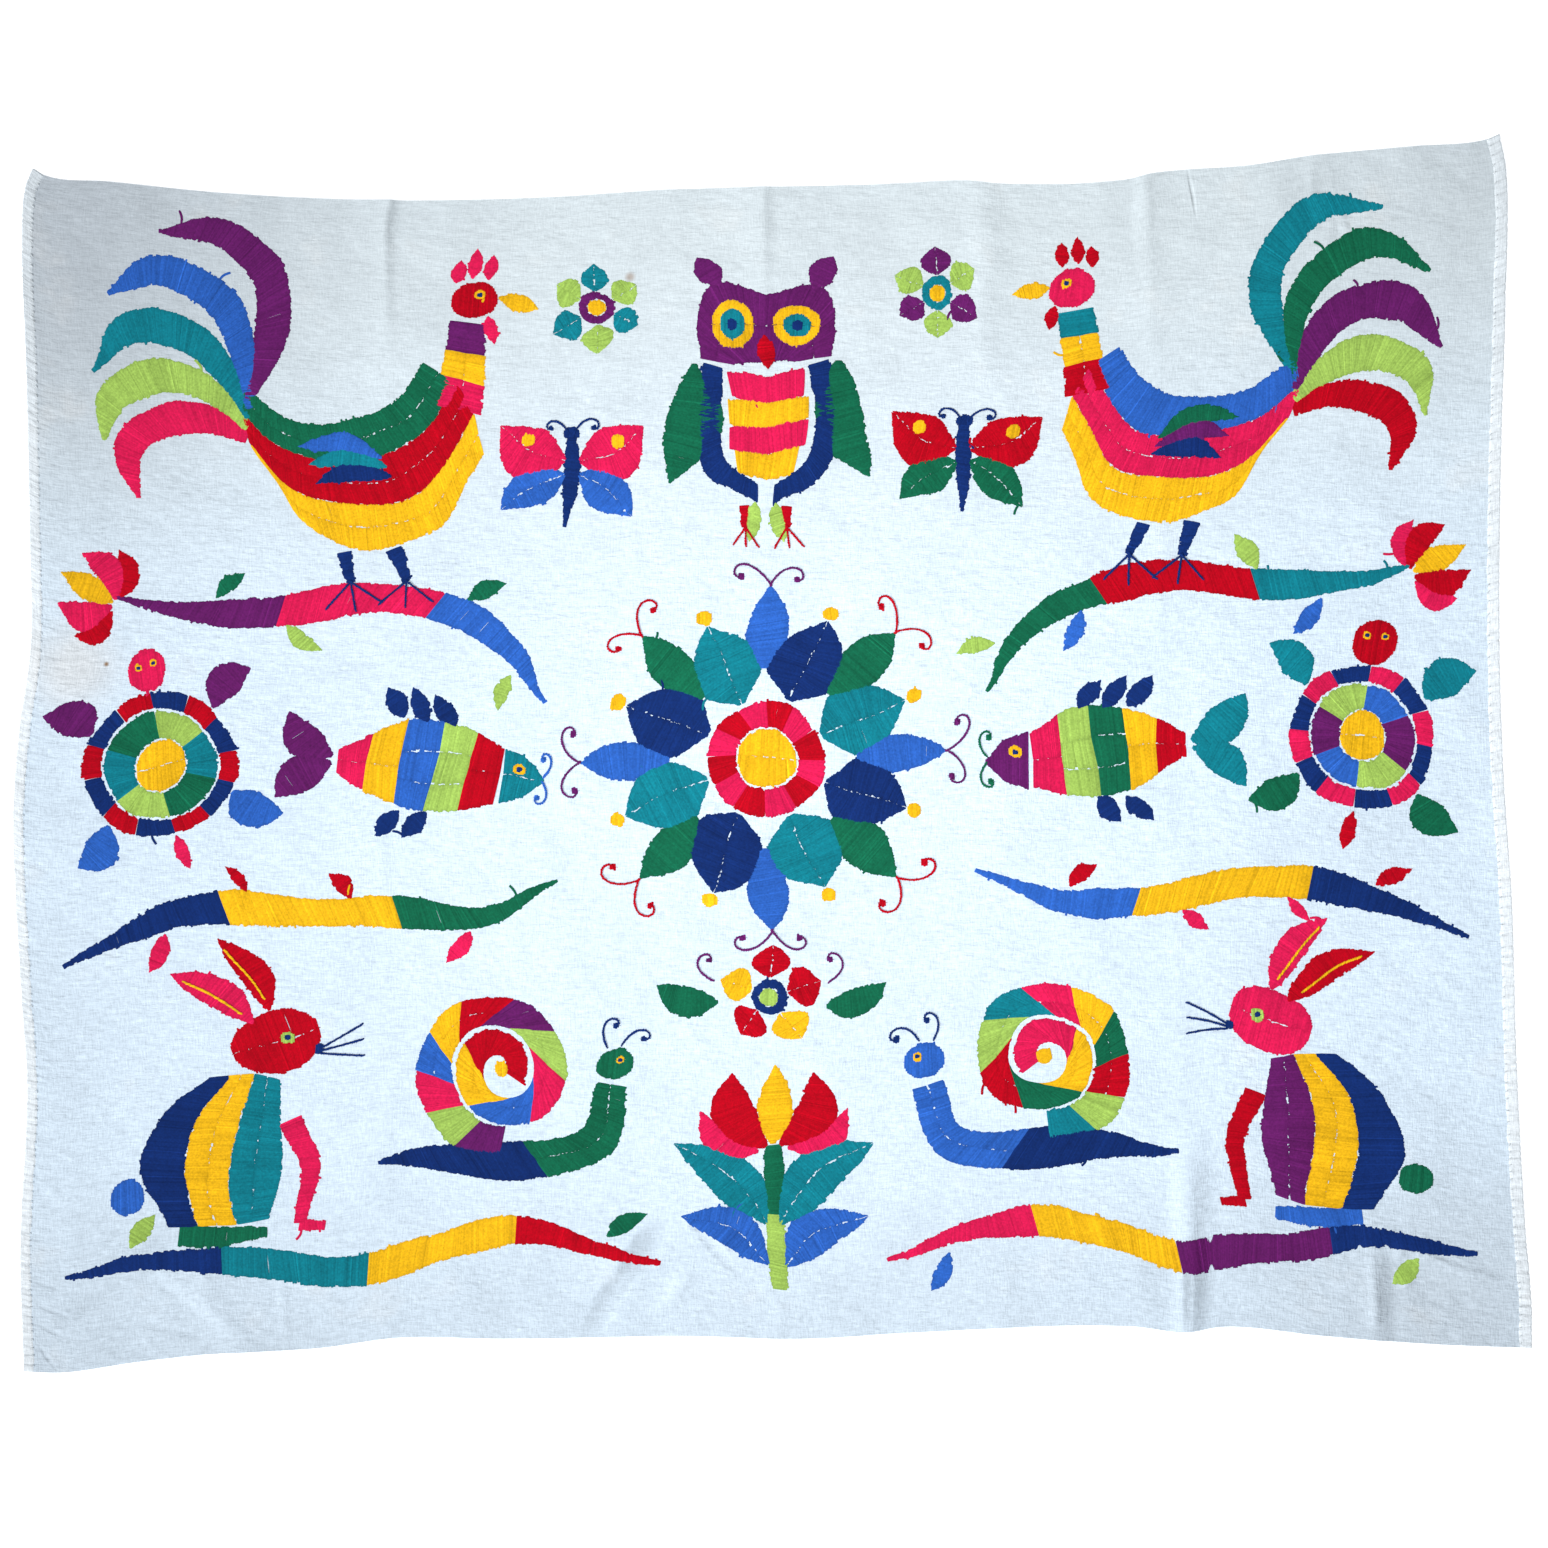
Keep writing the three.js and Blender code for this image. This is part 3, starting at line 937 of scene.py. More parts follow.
def stitch_flower(pattern, radius, petals, threads, core):
    """A round flower, with a ring and a dot in the two core threads."""
    inner = radius * 0.36
    wide = 2 * math.pi * radius * 0.6 / petals
    for index in range(petals):
        out = turned(90 + index * 360 / petals)
        pattern.petal(threads[index % len(threads)], out * (inner + 2), out * radius, wide)
    pattern.ring([core[1]], inner * 0.55, inner, sweep=359)
    pattern.disc(core[0], (0, 0), inner * 1.02)


def stitch_medallion(pattern):
    """The round flower in the middle, with two rings of petals and curled tendrils."""
    pattern.disc("yellow", (0, 0), 58)
    pattern.ring(["red", "pink"] * 6, 31, 56)
    for index in range(8):
        petal = turned(22.5 + 45 * index)
        pattern.petal(("teal", "navy")[index % 2], petal * 60, petal * 144, 72)
        pattern.disc("yellow", petal * 154, 15)
        leaf = turned(45 * index)
        pattern.leaf(("blue", "green")[index % 2], leaf * 90, leaf * 174, 42)
        for side in (1, -1):
            pattern.tendril(("purple", "red")[index % 2], leaf * 176, 45 * index + side * 25, 62, side)


def stitch_rooster(pattern):
    back = [(-118, 72), (-72, 44), (-14, 38), (34, 58), (62, 98)]
    upper = [(-124, 44), (-76, 8), (-10, -6), (52, 16), (92, 76)]
    lower = [(-114, 14), (-72, -34), (-2, -52), (70, -28), (112, 46)]
    belly = [(-94, -14), (-54, -72), (6, -96), (78, -70), (122, 6)]
    pattern.fill("green", back, upper)
    pattern.fill("red", upper, lower)
    pattern.fill("yellow", lower, belly)
    sickle = [(0, 0), (-8, 58), (-44, 108), (-98, 120), (-146, 84)]
    for index, thread in enumerate(("purple", "blue", "teal", "lime", "pink")):
        feather = spun(sickle, 24 * index - 34) * (1.12 - 0.09 * index)
        pattern.ribbon(thread, feather + (-118, 60 - 10 * index), (12, 28, 36, 32, 4))
    pattern.ribbon(["pink", "yellow", "purple"], [(94, 50), (104, 98), (112, 140)], (54, 42, 34))
    pattern.disc("red", (118, 166), 46, 42)
    pattern.leaf("yellow", (142, 168), (178, 156), 18)
    for x, y, tall in ((98, 188, 24), (114, 192, 30), (131, 189, 24)):
        pattern.leaf("pink", (x, y), (x + 3, y + tall), 15)
    pattern.leaf("pink", (132, 146), (136, 118), 14)
    pattern.eye((124, 172), 11)
    for hip, foot in (((-18, -98), (-10, -130)), ((30, -96), (42, -130))):
        pattern.ribbon("navy", [hip, foot], (16, 9))
        for x, y in ((-26, -26), (2, -30), (28, -24)):
            pattern.line("navy", [foot, (foot[0] + x, foot[1] + y)], 1)
    for index, thread in enumerate(("blue", "teal", "navy")):
        base = (20 + 4 * index, -2 - 9 * index)
        pattern.leaf(thread, base, (-66 + 9 * index, 14 - 22 * index), 22, bend=-0.12, layer=1)


def stitch_rabbit(pattern):
    rump = [(-66, -84), (-92, -30), (-78, 28), (-30, 66)]
    flank = [(-34, -86), (-50, -30), (-40, 24), (-8, 66)]
    side = [(2, -86), (-6, -30), (-2, 22), (16, 66)]
    chest = [(34, -80), (42, -30), (42, 14), (40, 60)]
    pattern.fill("navy", rump, flank)
    pattern.fill("yellow", flank, side)
    pattern.fill("teal", side, chest)
    pattern.disc("blue", (-106, -52), 34)
    pattern.disc("red", (38, 100), 86, 66, turn=18)
    pattern.leaf("pink", (18, 122), (-62, 176), 30, bend=-0.1)
    pattern.leaf("red", (34, 134), (-16, 210), 30, bend=-0.1)
    pattern.line("yellow", [(4, 134), (-24, 157), (-48, 169)], 1)
    pattern.line("yellow", [(27, 147), (8, 176), (-8, 198)], 1)
    pattern.eye((50, 106), 13, "lime")
    pattern.disc("navy", (80, 94), 9, layer=1)
    for rise in (12, 2, -8):
        pattern.line("navy", [(84, 92 + rise * 0.3), (122, 96 + rise * 1.6)])
    pattern.ribbon("green", [(-54, -92), (-14, -98), (34, -96)], (22, 20, 12))
    pattern.ribbon("pink", [(52, 22), (70, -30), (66, -88)], (24, 20, 12))
    pattern.ribbon("pink", [(66, -90), (88, -94)], (12, 9))


def stitch_fish(pattern):
    spine = [(-96, 0), (-40, 4), (24, 4), (84, 0)]
    pattern.ribbon(["pink", "yellow", "blue", "lime", "red"], spine, (28, 80, 112, 106, 66))
    pattern.fill("teal", [(88, 35), (114, 22), (134, 2)], [(88, -33), (114, -22), (134, -2)])
    pattern.eye((104, 9), 14)
    pattern.leaf("purple", (-104, 4), (-162, 54), 40, bend=0.12)
    pattern.leaf("purple", (-104, -4), (-162, -50), 40, bend=-0.12)
    for x, tall in ((-34, 30), (-6, 36), (24, 34)):
        pattern.leaf("navy", (x, 58), (x - 26, 58 + tall), 24)
    for x, tall in ((-20, 28), (14, 30)):
        pattern.leaf("navy", (x, -54), (x - 26, -54 - tall), 24)
    pattern.tendril("blue", (134, 6), 50, 46, 1)
    pattern.tendril("blue", (134, -2), -50, 46, -1)


def stitch_turtle(pattern):
    pattern.disc("yellow", (0, 0), 52)
    pattern.ring(["green", "teal", "lime"] * 2, 28, 58, start=90)
    pattern.ring(["red", "navy"] * 6, 61, 80, start=90)
    legs = ((38, "purple", 0.14), (142, "purple", -0.14), (218, "blue", 0.14), (322, "blue", -0.14))
    for angle, thread, bend in legs:
        pattern.leaf(thread, turned(angle) * 83, turned(angle) * 140, 40, bend=bend)
    pattern.disc("pink", (0, 106), 44, 48)
    pattern.leaf("pink", (0, -84), (6, -124), 16)
    for x in (-9, 9):
        pattern.eye((x, 112), 8)


def stitch_snail(pattern):
    steps = np.linspace(0, 1, 60)
    shell = np.array([turned(660 * step - 30) * (15 + 64 * step) for step in steps]) + (0, 30)
    shares = [((index + 1) / 12) ** 0.75 for index in range(12)]
    turns = ["red", "yellow", "blue", "pink", "lime", "purple"] * 2
    pattern.ribbon(turns, shell, (24, 30, 33, 35), shares)
    pattern.disc("yellow", (0, 30), 15)
    body = [(-124, -72), (-40, -66), (50, -68), (100, -46), (116, 10)]
    pattern.ribbon(["navy", "green"], body, (4, 30, 42, 40, 30), (0.55, 1))
    pattern.disc("green", (118, 34), 38, 34)
    pattern.eye((124, 38), 9)
    pattern.tendril("navy", (108, 54), 120, 52, -1)
    pattern.tendril("navy", (124, 54), 60, 52, -1)


def stitch_owl(pattern):
    for side in (-1, 1):
        def mirrored(points):
            return [(x * side, y) for x, y in points]

        flank = mirrored([(58, 40), (66, -10), (52, -62), (8, -92)])
        pattern.fill("navy", flank, mirrored([(40, 36), (42, -8), (34, -50), (8, -74)]))
        brow = mirrored([(60, 44), (62, 78), (44, 112), (0, 104)])
        pattern.fill("purple", brow, mirrored([(30, 42), (16, 44), (6, 44), (0, 44)]))
        for layer, (thread, width) in enumerate((("yellow", 40), ("teal", 24), ("navy", 10)), start=1):
            pattern.disc(thread, (28 * side, 76), width, layer=layer)
        pattern.leaf("purple", (40 * side, 110), (58 * side, 138), 22)
        pattern.leaf("green", (66 * side, 38), (88 * side, -66), 46, bend=-0.12 * side)
        pattern.ribbon("red", [(20 * side, -94), (20 * side, -112)], (10, 8))
        for toe in (-12, 0, 12):
            pattern.line("red", [(20 * side, -112), (20 * side + toe, -128)])
        pattern.leaf("lime", (10 * side, -92), (16 * side, -124), 18)
    for thread, top, low, half in (
        ("pink", 38, 10, 36), ("yellow", 12, -14, 37), ("pink", -12, -38, 34), ("yellow", -36, -62, 26),
    ):
        shares = np.array([-1, -0.5, 0, 0.5, 1])
        above = np.column_stack([shares * half, top - np.array([4, 4, 8, 4, 4])])
        below = np.column_stack([shares * half - (-3, 0, 0, 0, 3), low - np.array([0, 5, 7, 5, 0])])
        pattern.fill(thread, above, below)
    pattern.leaf("red", (0, 66), (0, 38), 16, layer=1)


def stitch_butterfly(pattern):
    for side in (1, -1):
        pattern.petal("pink", (9 * side, 10), (92 * side, 58), 70, bend=-0.1 * side)
        pattern.petal("blue", (9 * side, -8), (78 * side, -56), 52, bend=0.1 * side)
        pattern.disc("yellow", (58 * side, 40), 17, layer=1)
        pattern.tendril("navy", (4 * side, 52), 90 - 28 * side, 56, -side)
    pattern.ribbon("navy", [(0, 44), (0, 0), (0, -72)], (12, 20, 5))
    pattern.disc("navy", (0, 50), 20)


def stitch_tulip(pattern, outer="red", side="pink", middle="yellow"):
    pattern.leaf(middle, (0, 0), (0, 76), 34)
    for way in (-1, 1):
        pattern.leaf(outer, (6 * way, -2), (38 * way, 66), 38, bend=-0.2 * way)
        pattern.leaf(side, (12 * way, -6), (64 * way, 30), 26, bend=-0.22 * way)


def stitch_vine(pattern, threads, spine, leaves, leaf_threads):
    """A long band with leaves, each a row of its share of the way, its side and its length."""
    pattern.ribbon(threads, spine, (5, 30, 35, 32, 5))
    middle = evenly(spine, 101)
    aside = beside(middle)
    for index, (share, side, length) in enumerate(leaves):
        at = round(share * 100)
        out = aside[at] * side
        root = middle[at] + out * 17
        tip = root + (out * 0.8 + spun([aside[at]], -90)[0] * 0.75) * length
        pattern.leaf(leaf_threads[index % len(leaf_threads)], root, tip, length * 0.46, bend=0.06 * side)


# Threads that take turns, so that the right half isn't the left half over again
RIGHT_SWAP = {
    "green": "blue", "blue": "green", "teal": "purple", "purple": "teal", "red": "pink", "pink": "red",
}


def stitch_side(pattern, flip):
    """The creatures, flowers and vines of one half. The right half mirrors the left."""
    side = 1 if flip else -1
    swap = RIGHT_SWAP if flip else None
    uneven = 1 if flip else 0

    def start_at(x, y, size=1, turn=0):
        pattern.start_at(x * side, y, size, turn, flip, swap)

    start_at(438 + 8 * uneven, 356, 1.07 - 0.03 * uneven, 2 * uneven)
    stitch_rooster(pattern)
    start_at(646, 10, 1.0, 14 - 5 * uneven)
    stitch_turtle(pattern)
    start_at(366, 0, 0.95, 4 * uneven - 7)
    stitch_fish(pattern)
    start_at(572, -412, 1.08, 2 * uneven)
    stitch_rabbit(pattern)
    start_at(292, -374, 1.05 + 0.03 * uneven, -3 * uneven)
    stitch_snail(pattern)
    start_at(184, 522)
    stitch_flower(pattern, 50, 6, ("teal", "lime"), ("yellow", "purple"))
    start_at(214, 336, 0.86, 8 * uneven - 4)
    stitch_butterfly(pattern)
    start_at(708, 190, 0.8, 62)
    stitch_tulip(pattern, "pink", "red", "yellow")

    pattern.start_at(swap=swap)
    lower = np.array([(748, -548), (620, -540), (440, -566), (280, -528), (120, -566)]) * (side, 1)
    leaves = ((0.1, 1, 40), (0.9, 1, 40))
    stitch_vine(pattern, ["navy", "teal", "yellow", "red"], lower, leaves, ("lime", "green"))
    upper = np.array([(704, 196), (580, 176), (430, 198), (300, 158), (236, 72)]) * (side, 1)
    leaves = ((0.2, 1, 40), (0.34, -1, 42), (0.72, 1, 40), (0.9, -1, 38))
    stitch_vine(pattern, ["purple", "pink", "blue"], upper, leaves, ("green", "lime"))
    middle = np.array([(222, -128), (320, -168), (450, -160), (600, -152), (752, -208)]) * (side, 1)
    leaves = ((0.2, 1, 36), (0.42, -1, 36), (0.8, 1, 38), (0.62, -1, 30))
    stitch_vine(pattern, ["green", "yellow", "navy"], middle, leaves, ("pink", "red"))


def draw_pattern(pitch, stem):
    pattern = Pattern(pitch, stem)
    pattern.start_at(0, 5, 1.12)
    stitch_medallion(pattern)
    pattern.start_at(0, 402, 1.22)
    stitch_owl(pattern)
    stitch_side(pattern, False)
    stitch_side(pattern, True)
    pattern.start_at(0, -264)
    stitch_flower(pattern, 54, 5, ("red", "yellow"), ("lime", "navy"))
    for side in (-1, 1):
        pattern.leaf("green", (58 * side, -10), (122 * side, 14), 34, bend=-0.14 * side)
        pattern.tendril("purple", (60 * side, 16), 90 - 55 * side, 60, side)
    pattern.start_at(0, -430, 1.2)
    stitch_tulip(pattern)
    pattern.start_at(0, -452)
    pattern.ribbon(["green", "lime"], [(0, 20), (2, -60), (0, -140)], (17, 22, 15))
    for side in (-1, 1):
        pattern.petal("teal", (9 * side, -70), (104 * side, 20), 54, bend=0.12 * side)
        pattern.petal("blue", (9 * side, -112), (100 * side, -60), 44, bend=0.12 * side)
    return pattern


# Stitches


def slits(count, chance, share=0.0016):
    """How far stitches part, to each side of the few slits that open between them."""
    order = np.arange(count)
    parted = np.zeros(count)
    for spot in order[chance.random(count) < share]:
        away = order - spot - 0.5
        parted += np.sign(away) * 1.5 * np.exp(-np.abs(away) / 1.3)
    return parted


def stitch_paths(fills, sheet, ragged, chance):
    """A path along each laid stitch, on the cloth, and its shade: a tone that differs at random, with
    painted sheen on a few stitches. Long stitches bend more often.
    """
    paths = []
    shades = []
    for start, end, layer in fills:
        count = len(start)
        run = end - start
        length = np.maximum(np.linalg.norm(run, axis=1), 0.5)
        middling = np.median(length)
        shares = np.linspace(0, 1, 3 + (middling > 12) + (middling > 34))
        ahead = run / length[:, None]
        aside = np.column_stack([-ahead[:, 1], ahead[:, 0]])
        order = np.arange(count)
        teeth = chance.normal(0, 0.85, (2, count // 3 + 1)).repeat(3, axis=1)[:, :count]
        long_ends = (chance.random((2, count)) > 0.975) * chance.uniform(0.8, 2.4, (2, count))
        closing = np.sin(order / chance.uniform(5, 13, (2, 1)) + chance.uniform(0, 6, (2, 1)))
        reach = (teeth + closing * 0.5 + chance.normal(0.1, 0.45, (2, count))) * ragged + long_ends
        reach = reach * np.minimum(1, length / 8)
        slip = chance.normal(0, 0.09, (2, count))
        start = start - ahead * reach[0][:, None] + aside * slip[0][:, None]
        end = end + ahead * reach[1][:, None] + aside * slip[1][:, None]
        bunch = np.sin(order / chance.uniform(2.1, 3.4) + chance.uniform(0, 6)) * 0.1
        bunch = bunch + chance.normal(0, 0.08, count) + slits(count, chance)
        bunch = bunch * np.minimum(1, length / 20)
        flat = between(start[:, None], end[:, None], shares[:, None])
        sway = np.sin(shares * math.pi) * bunch[:, None]
        flat = flat + aside[:, None] * sway[..., None]
        paths.extend(sheet.on_top(flat, LAID_RISE + layer * LAYER_RISE))
        drift = np.sin(order / chance.uniform(4, 9) + chance.uniform(0, 6)) * 0.035
        # Painted sheen: a few stitches are made brighter, as glints on the thread
        painted_sheen = (chance.random(count) > 0.985) * chance.uniform(0.1, 0.4, count)
        shades.append(1 + drift + painted_sheen + chance.normal(0, 0.085, count) + chance.normal(0, 0.035))
    return paths, np.clip(np.concatenate(shades), 0.65, 1.6)


def loose_ends(paths, chance, share=0.002):
    """Short tails of thread that hang out beside a few stitches."""
    picked = np.flatnonzero(chance.random(len(paths)) < share)
    chosen = np.array([paths[index][-2:] for index in picked])
    ahead = chosen[:, 1] - chosen[:, 0]
    ahead /= np.linalg.norm(ahead, axis=1)[:, None]
    aside = np.column_stack([-ahead[:, 1], ahead[:, 0], np.zeros(len(ahead))])
    reach = chance.uniform(4, 13, len(chosen)) * MM
    curl = chance.uniform(-0.9, 0.9, len(chosen))
    steps = np.array([0, 0.3, 0.55, 0.8, 1])
    forward = ahead[:, None] * (steps * reach[:, None])[..., None]
    sideways = aside[:, None] * (steps ** 2 * (curl * reach)[:, None])[..., None]
    return list(chosen[:, 1:] + forward + sideways)


def new_tree(name, inputs):
    """A tree of Geometry Nodes with named inputs: the tree, its nodes and its input node."""
    tree = bpy.data.node_groups.new(name, "GeometryNodeTree")
    for socket, kind in {"Geometry": "Geometry", **inputs}.items():
        tree.interface.new_socket(socket, in_out="INPUT", socket_type=f"NodeSocket{kind}")
    tree.interface.new_socket("Geometry", in_out="OUTPUT", socket_type="NodeSocketGeometry")
    return tree, Nodes(tree), tree.nodes.new("NodeGroupInput")


def humped(nodes):
    """How far along its curve a point is, and a hump that is 0 at both ends and 1 between."""
    along = nodes.value("GeometryNodeSplineParameter")
    return along, (along * (1 - along) * 4) ** 0.5


def bent_thread(nodes, given, curve, section, rise, radius, along):
    """Bends a curve upwards and gives it the body of a flat thread, closed at both ends."""
    offset = nodes.add("ShaderNodeCombineXYZ", {}, {2: rise})
    arched = nodes.add("GeometryNodeSetPosition", {}, {
        "Geometry": curve, "Offset": offset.outputs[0],
    })
    upright = nodes.add("GeometryNodeSetCurveNormal", {"mode": "Z_UP"}, {"Curve": arched.outputs[0]})
    thick = nodes.add("GeometryNodeSetCurveRadius", {}, {
        "Curve": upright.outputs[0], "Radius": radius,
    })
    marked = nodes.add("GeometryNodeStoreNamedAttribute", {"data_type": "FLOAT", "domain": "POINT"}, {
        "Geometry": thick.outputs[0], "Name": ALONG, "Value": along,
    })
    size = nodes.add("ShaderNodeCombineXYZ", {}, {
        0: given.outputs["Width"], 1: given.outputs["Height"], 2: 1.0,
    })
    flat = nodes.add("GeometryNodeTransform", {}, {"Geometry": section, "Scale": size.outputs[0]})
    return nodes.add("GeometryNodeCurveToMesh", {}, {
        "Curve": marked.outputs[0], "Profile Curve": flat.outputs[0], "Fill Caps": True,
    })


def end_tree(nodes, given, geometry):
    """Makes the instances real, gives them the thread's material and ends the tree."""
    whole = nodes.add("GeometryNodeRealizeInstances", {}, {"Geometry": geometry})
    coloured = nodes.add("GeometryNodeSetMaterial", {}, {
        "Geometry": whole.outputs[0], "Material": given.outputs["Thread"],
    })
    nodes.add("NodeGroupOutput", {}, {"Geometry": coloured.outputs[0]})


def laid_stitch_tree():
    """Turns the paths of the laid stitches into arched, tapered threads."""
    tree, nodes, given = new_tree("laid stitches", {
        "Width": "Float", "Height": "Float", "Arch": "Float", "Seed": "Int", "Thread": "Material",
    })
    curve = nodes.add("GeometryNodeMeshToCurve", {}, {"Mesh": given.outputs["Geometry"]})
    along, hump = humped(nodes)
    own = nodes.add("GeometryNodeCurveOfPoint").outputs["Curve Index"]
    chance = {"ID": own, "Seed": given.outputs["Seed"]}
    swell = nodes.value("FunctionNodeRandomValue", {}, {"Min": 0.0, "Max": 1.0, **chance}, output=1)
    rise = hump * (0.85 + swell * 0.3) * given.outputs["Arch"]
    radius = (0.6 + hump * 0.4) * (0.92 + swell * 0.16)
    section = nodes.add("GeometryNodeCurvePrimitiveQuadrilateral", {"mode": "TRAPEZOID"}, {
        "Bottom Width": 0.34, "Top Width": 1.0, "Offset": 0.0, "Height": 1.0,
    })
    threads = bent_thread(nodes, given, curve.outputs[0], section.outputs[0], rise, radius, along)
    end_tree(nodes, given, threads.outputs[0])
    return tree


def line_stitch_tree():
    """Sets short slanting stitches one behind the other along each path."""
    tree, nodes, given = new_tree("line stitches", {
        "Spacing": "Float", "Length": "Float", "Width": "Float", "Height": "Float", "Slant": "Float",
        "Seed": "Int", "Thread": "Material",
    })
    half = Value(nodes, given.outputs["Length"]) * 0.5
    back = nodes.add("ShaderNodeCombineXYZ", {}, {0: half * -1})
    front = nodes.add("ShaderNodeCombineXYZ", {}, {0: half})
    straight = nodes.add("GeometryNodeCurvePrimitiveLine", {}, {
        "Start": back.outputs[0], "End": front.outputs[0],
    })
    stepped = nodes.add("GeometryNodeResampleCurve", {}, {"Curve": straight.outputs[0], "Count": 5})
    along, hump = humped(nodes)
    rise = hump * given.outputs["Height"]
    radius = 0.55 + hump * 0.45
    ring = nodes.add("GeometryNodeCurvePrimitiveCircle", {}, {"Resolution": 5, "Radius": 0.5})
    section = nodes.add("GeometryNodeTransform", {}, {
        "Geometry": ring.outputs[0], "Rotation": (0.0, 0.0, -math.pi / 2),
    })
    stitch = bent_thread(nodes, given, stepped.outputs[0], section.outputs[0], rise, radius, along)

    curve = nodes.add("GeometryNodeMeshToCurve", {}, {"Mesh": given.outputs["Geometry"]})
    spots = nodes.add("GeometryNodeCurveToPoints", {"mode": "LENGTH"}, {
        "Curve": curve.outputs[0], "Length": given.outputs["Spacing"],
    })
    seed = {"Seed": given.outputs["Seed"]}
    chance = nodes.value("FunctionNodeRandomValue", {}, {"Min": 0.0, "Max": 1.0, **seed}, output=1)
    facing = nodes.add(
        "FunctionNodeAxesToRotation", {"primary_axis": "X", "secondary_axis": "Z"},
        {"Primary Axis": spots.outputs["Tangent"], "Secondary Axis": (0.0, 0.0, 1.0)})
    slant = nodes.add("ShaderNodeCombineXYZ", {}, {2: (0.7 + chance * 0.6) * given.outputs["Slant"]})
    turn = nodes.add("FunctionNodeEulerToRotation", {}, {0: slant.outputs[0]})
    slanted = nodes.add("FunctionNodeRotateRotation", {"rotation_space": "LOCAL"}, {
        0: facing.outputs[0], 1: turn.outputs[0],
    })
    size = nodes.add("ShaderNodeCombineXYZ", {}, {
        0: 0.85 + chance * 0.3, 1: 0.9 + chance * 0.2, 2: 0.8 + chance * 0.4,
    })
    row = nodes.add("GeometryNodeInstanceOnPoints", {}, {
        "Points": spots.outputs["Points"], "Instance": stitch.outputs[0],
        "Rotation": slanted.outputs[0], "Scale": size.outputs[0],
    })
    named = {"data_type": "FLOAT", "domain": "INSTANCE"}
    shaded = nodes.add("GeometryNodeStoreNamedAttribute", named, {
        "Geometry": row.outputs[0], "Name": SHADE, "Value": 0.8 + chance * 0.35,
    })
    end_tree(nodes, given, shaded.outputs[0])
    return tree


THREADS = ("green", "teal", "blue", "navy", "red", "pink", "purple", "yellow", "lime")

# How far a sewing stitch reaches over its hem, into the sheet and downwards, and the heights of its
# start, its middle and its end above the sheet
SEWN_OVER = 1.6
SEWN_IN = 0.96
SEWN_DOWN = 1.2
SEWN_HEIGHTS = (1.1, 0.9, 0.0)

# How far the ends of the threads stand above the sheet, for laid stitches and for lines
LAID_RISE = 0.05
LINE_RISE = 0.25


def finish_piece(piece):
    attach(piece, BODY)
    piece["goes_with"] = "sheet"


def thread_for(name, threads):
    material = bpy.data.materials.get(f"{name} thread")
    return material or thread_material(f"{name} thread", getattr(threads, name))


def get_tree(name, make):
    return bpy.data.node_groups.get(name) or make()


class CLOTH_OT_hems(bpy.types.Operator):
    """Make the turned hems down both sides of the cloth, and the stitches that hold them"""
    bl_idname = "cloth.hems"
    bl_label = "Side hems"

    def execute(self, context):
        settings = context.scene.cloth_settings
        sheet = LaidSheet(settings)
        # The hem takes about a third of the sheet's painted shade and grey
        cotton = cotton_material("hem cotton", settings.hem, settings, 0.35)
        for seed, side in enumerate(HEM_WIDTHS, start=31):
            chance = np.random.default_rng(seed)
            pinches = pinch_places(side, sheet.height, chance)
            hem = new_object(f"{side}_hem", make_hem(side, sheet, settings, pinches, chance))
            hem.data.materials.append(cotton)
            finish_piece(hem)
            self.sew(context, side, sheet, pinches, chance)
        return {"FINISHED"}

    def sew(self, context, side, sheet, pinches, chance):
        """Small stitches over the hem's inner edge, one at each pinch."""
        threads = context.scene.thread_settings
        inward = 1 if side == "left" else -1
        edge = inward * (HEM_WIDTHS[side] - sheet.width / 2)
        middle = sheet.height / 2 - pinches
        slip = chance.normal(0, 0.5, (2, len(pinches)))
        on_hem = np.full(len(pinches), edge - inward * SEWN_OVER)
        on_sheet = np.full(len(pinches), edge + inward * SEWN_IN)
        start = np.column_stack([on_hem, middle + slip[0]])
        end = np.column_stack([on_sheet, middle - SEWN_DOWN + slip[1]])
        flat = between(start[:, None], end[:, None], np.array([0, 0.5, 1])[:, None])
        paths = sheet.on_top(flat, np.array(SEWN_HEIGHTS))
        piece = new_object(f"{side}_hem_stitches", path_mesh("paths", paths, np.ones(len(paths))))
        grow(piece, get_tree("laid stitches", laid_stitch_tree), {
            "Width": threads.hem_width, "Height": threads.hem_height, "Arch": threads.hem_arch,
            "Seed": 5, "Thread": thread_for("white", threads),
        })
        finish_piece(piece)


class CLOTH_OT_laid_stitches(bpy.types.Operator):
    """Fill the shapes of the pattern with laid stitches, one piece for each thread"""
    bl_idname = "cloth.laid_stitches"
    bl_label = "Laid stitches"

    def execute(self, context):
        settings = context.scene.thread_settings
        sheet = LaidSheet(context.scene.cloth_settings)
        pattern = draw_pattern(settings.pitch / MM, settings.stem / MM)
        tree = get_tree("laid stitches", laid_stitch_tree)
        for seed, name in enumerate(THREADS, start=11):
            chance = np.random.default_rng(seed)
            fills = [fill[1:] for fill in pattern.fills if fill[0] == name]
            paths, shades = stitch_paths(fills, sheet, settings.ragged / MM, chance)
            tails = loose_ends(paths, chance)
            shades = np.concatenate([shades, np.full(len(tails), 0.9)])
            piece = new_object(f"{name}_laid_stitches", path_mesh("paths", paths + tails, shades))
            grow(piece, tree, {
                "Width": settings.width, "Height": settings.height, "Arch": settings.arch,
                "Seed": seed, "Thread": thread_for(name, settings),
            })
            finish_piece(piece)
        return {"FINISHED"}


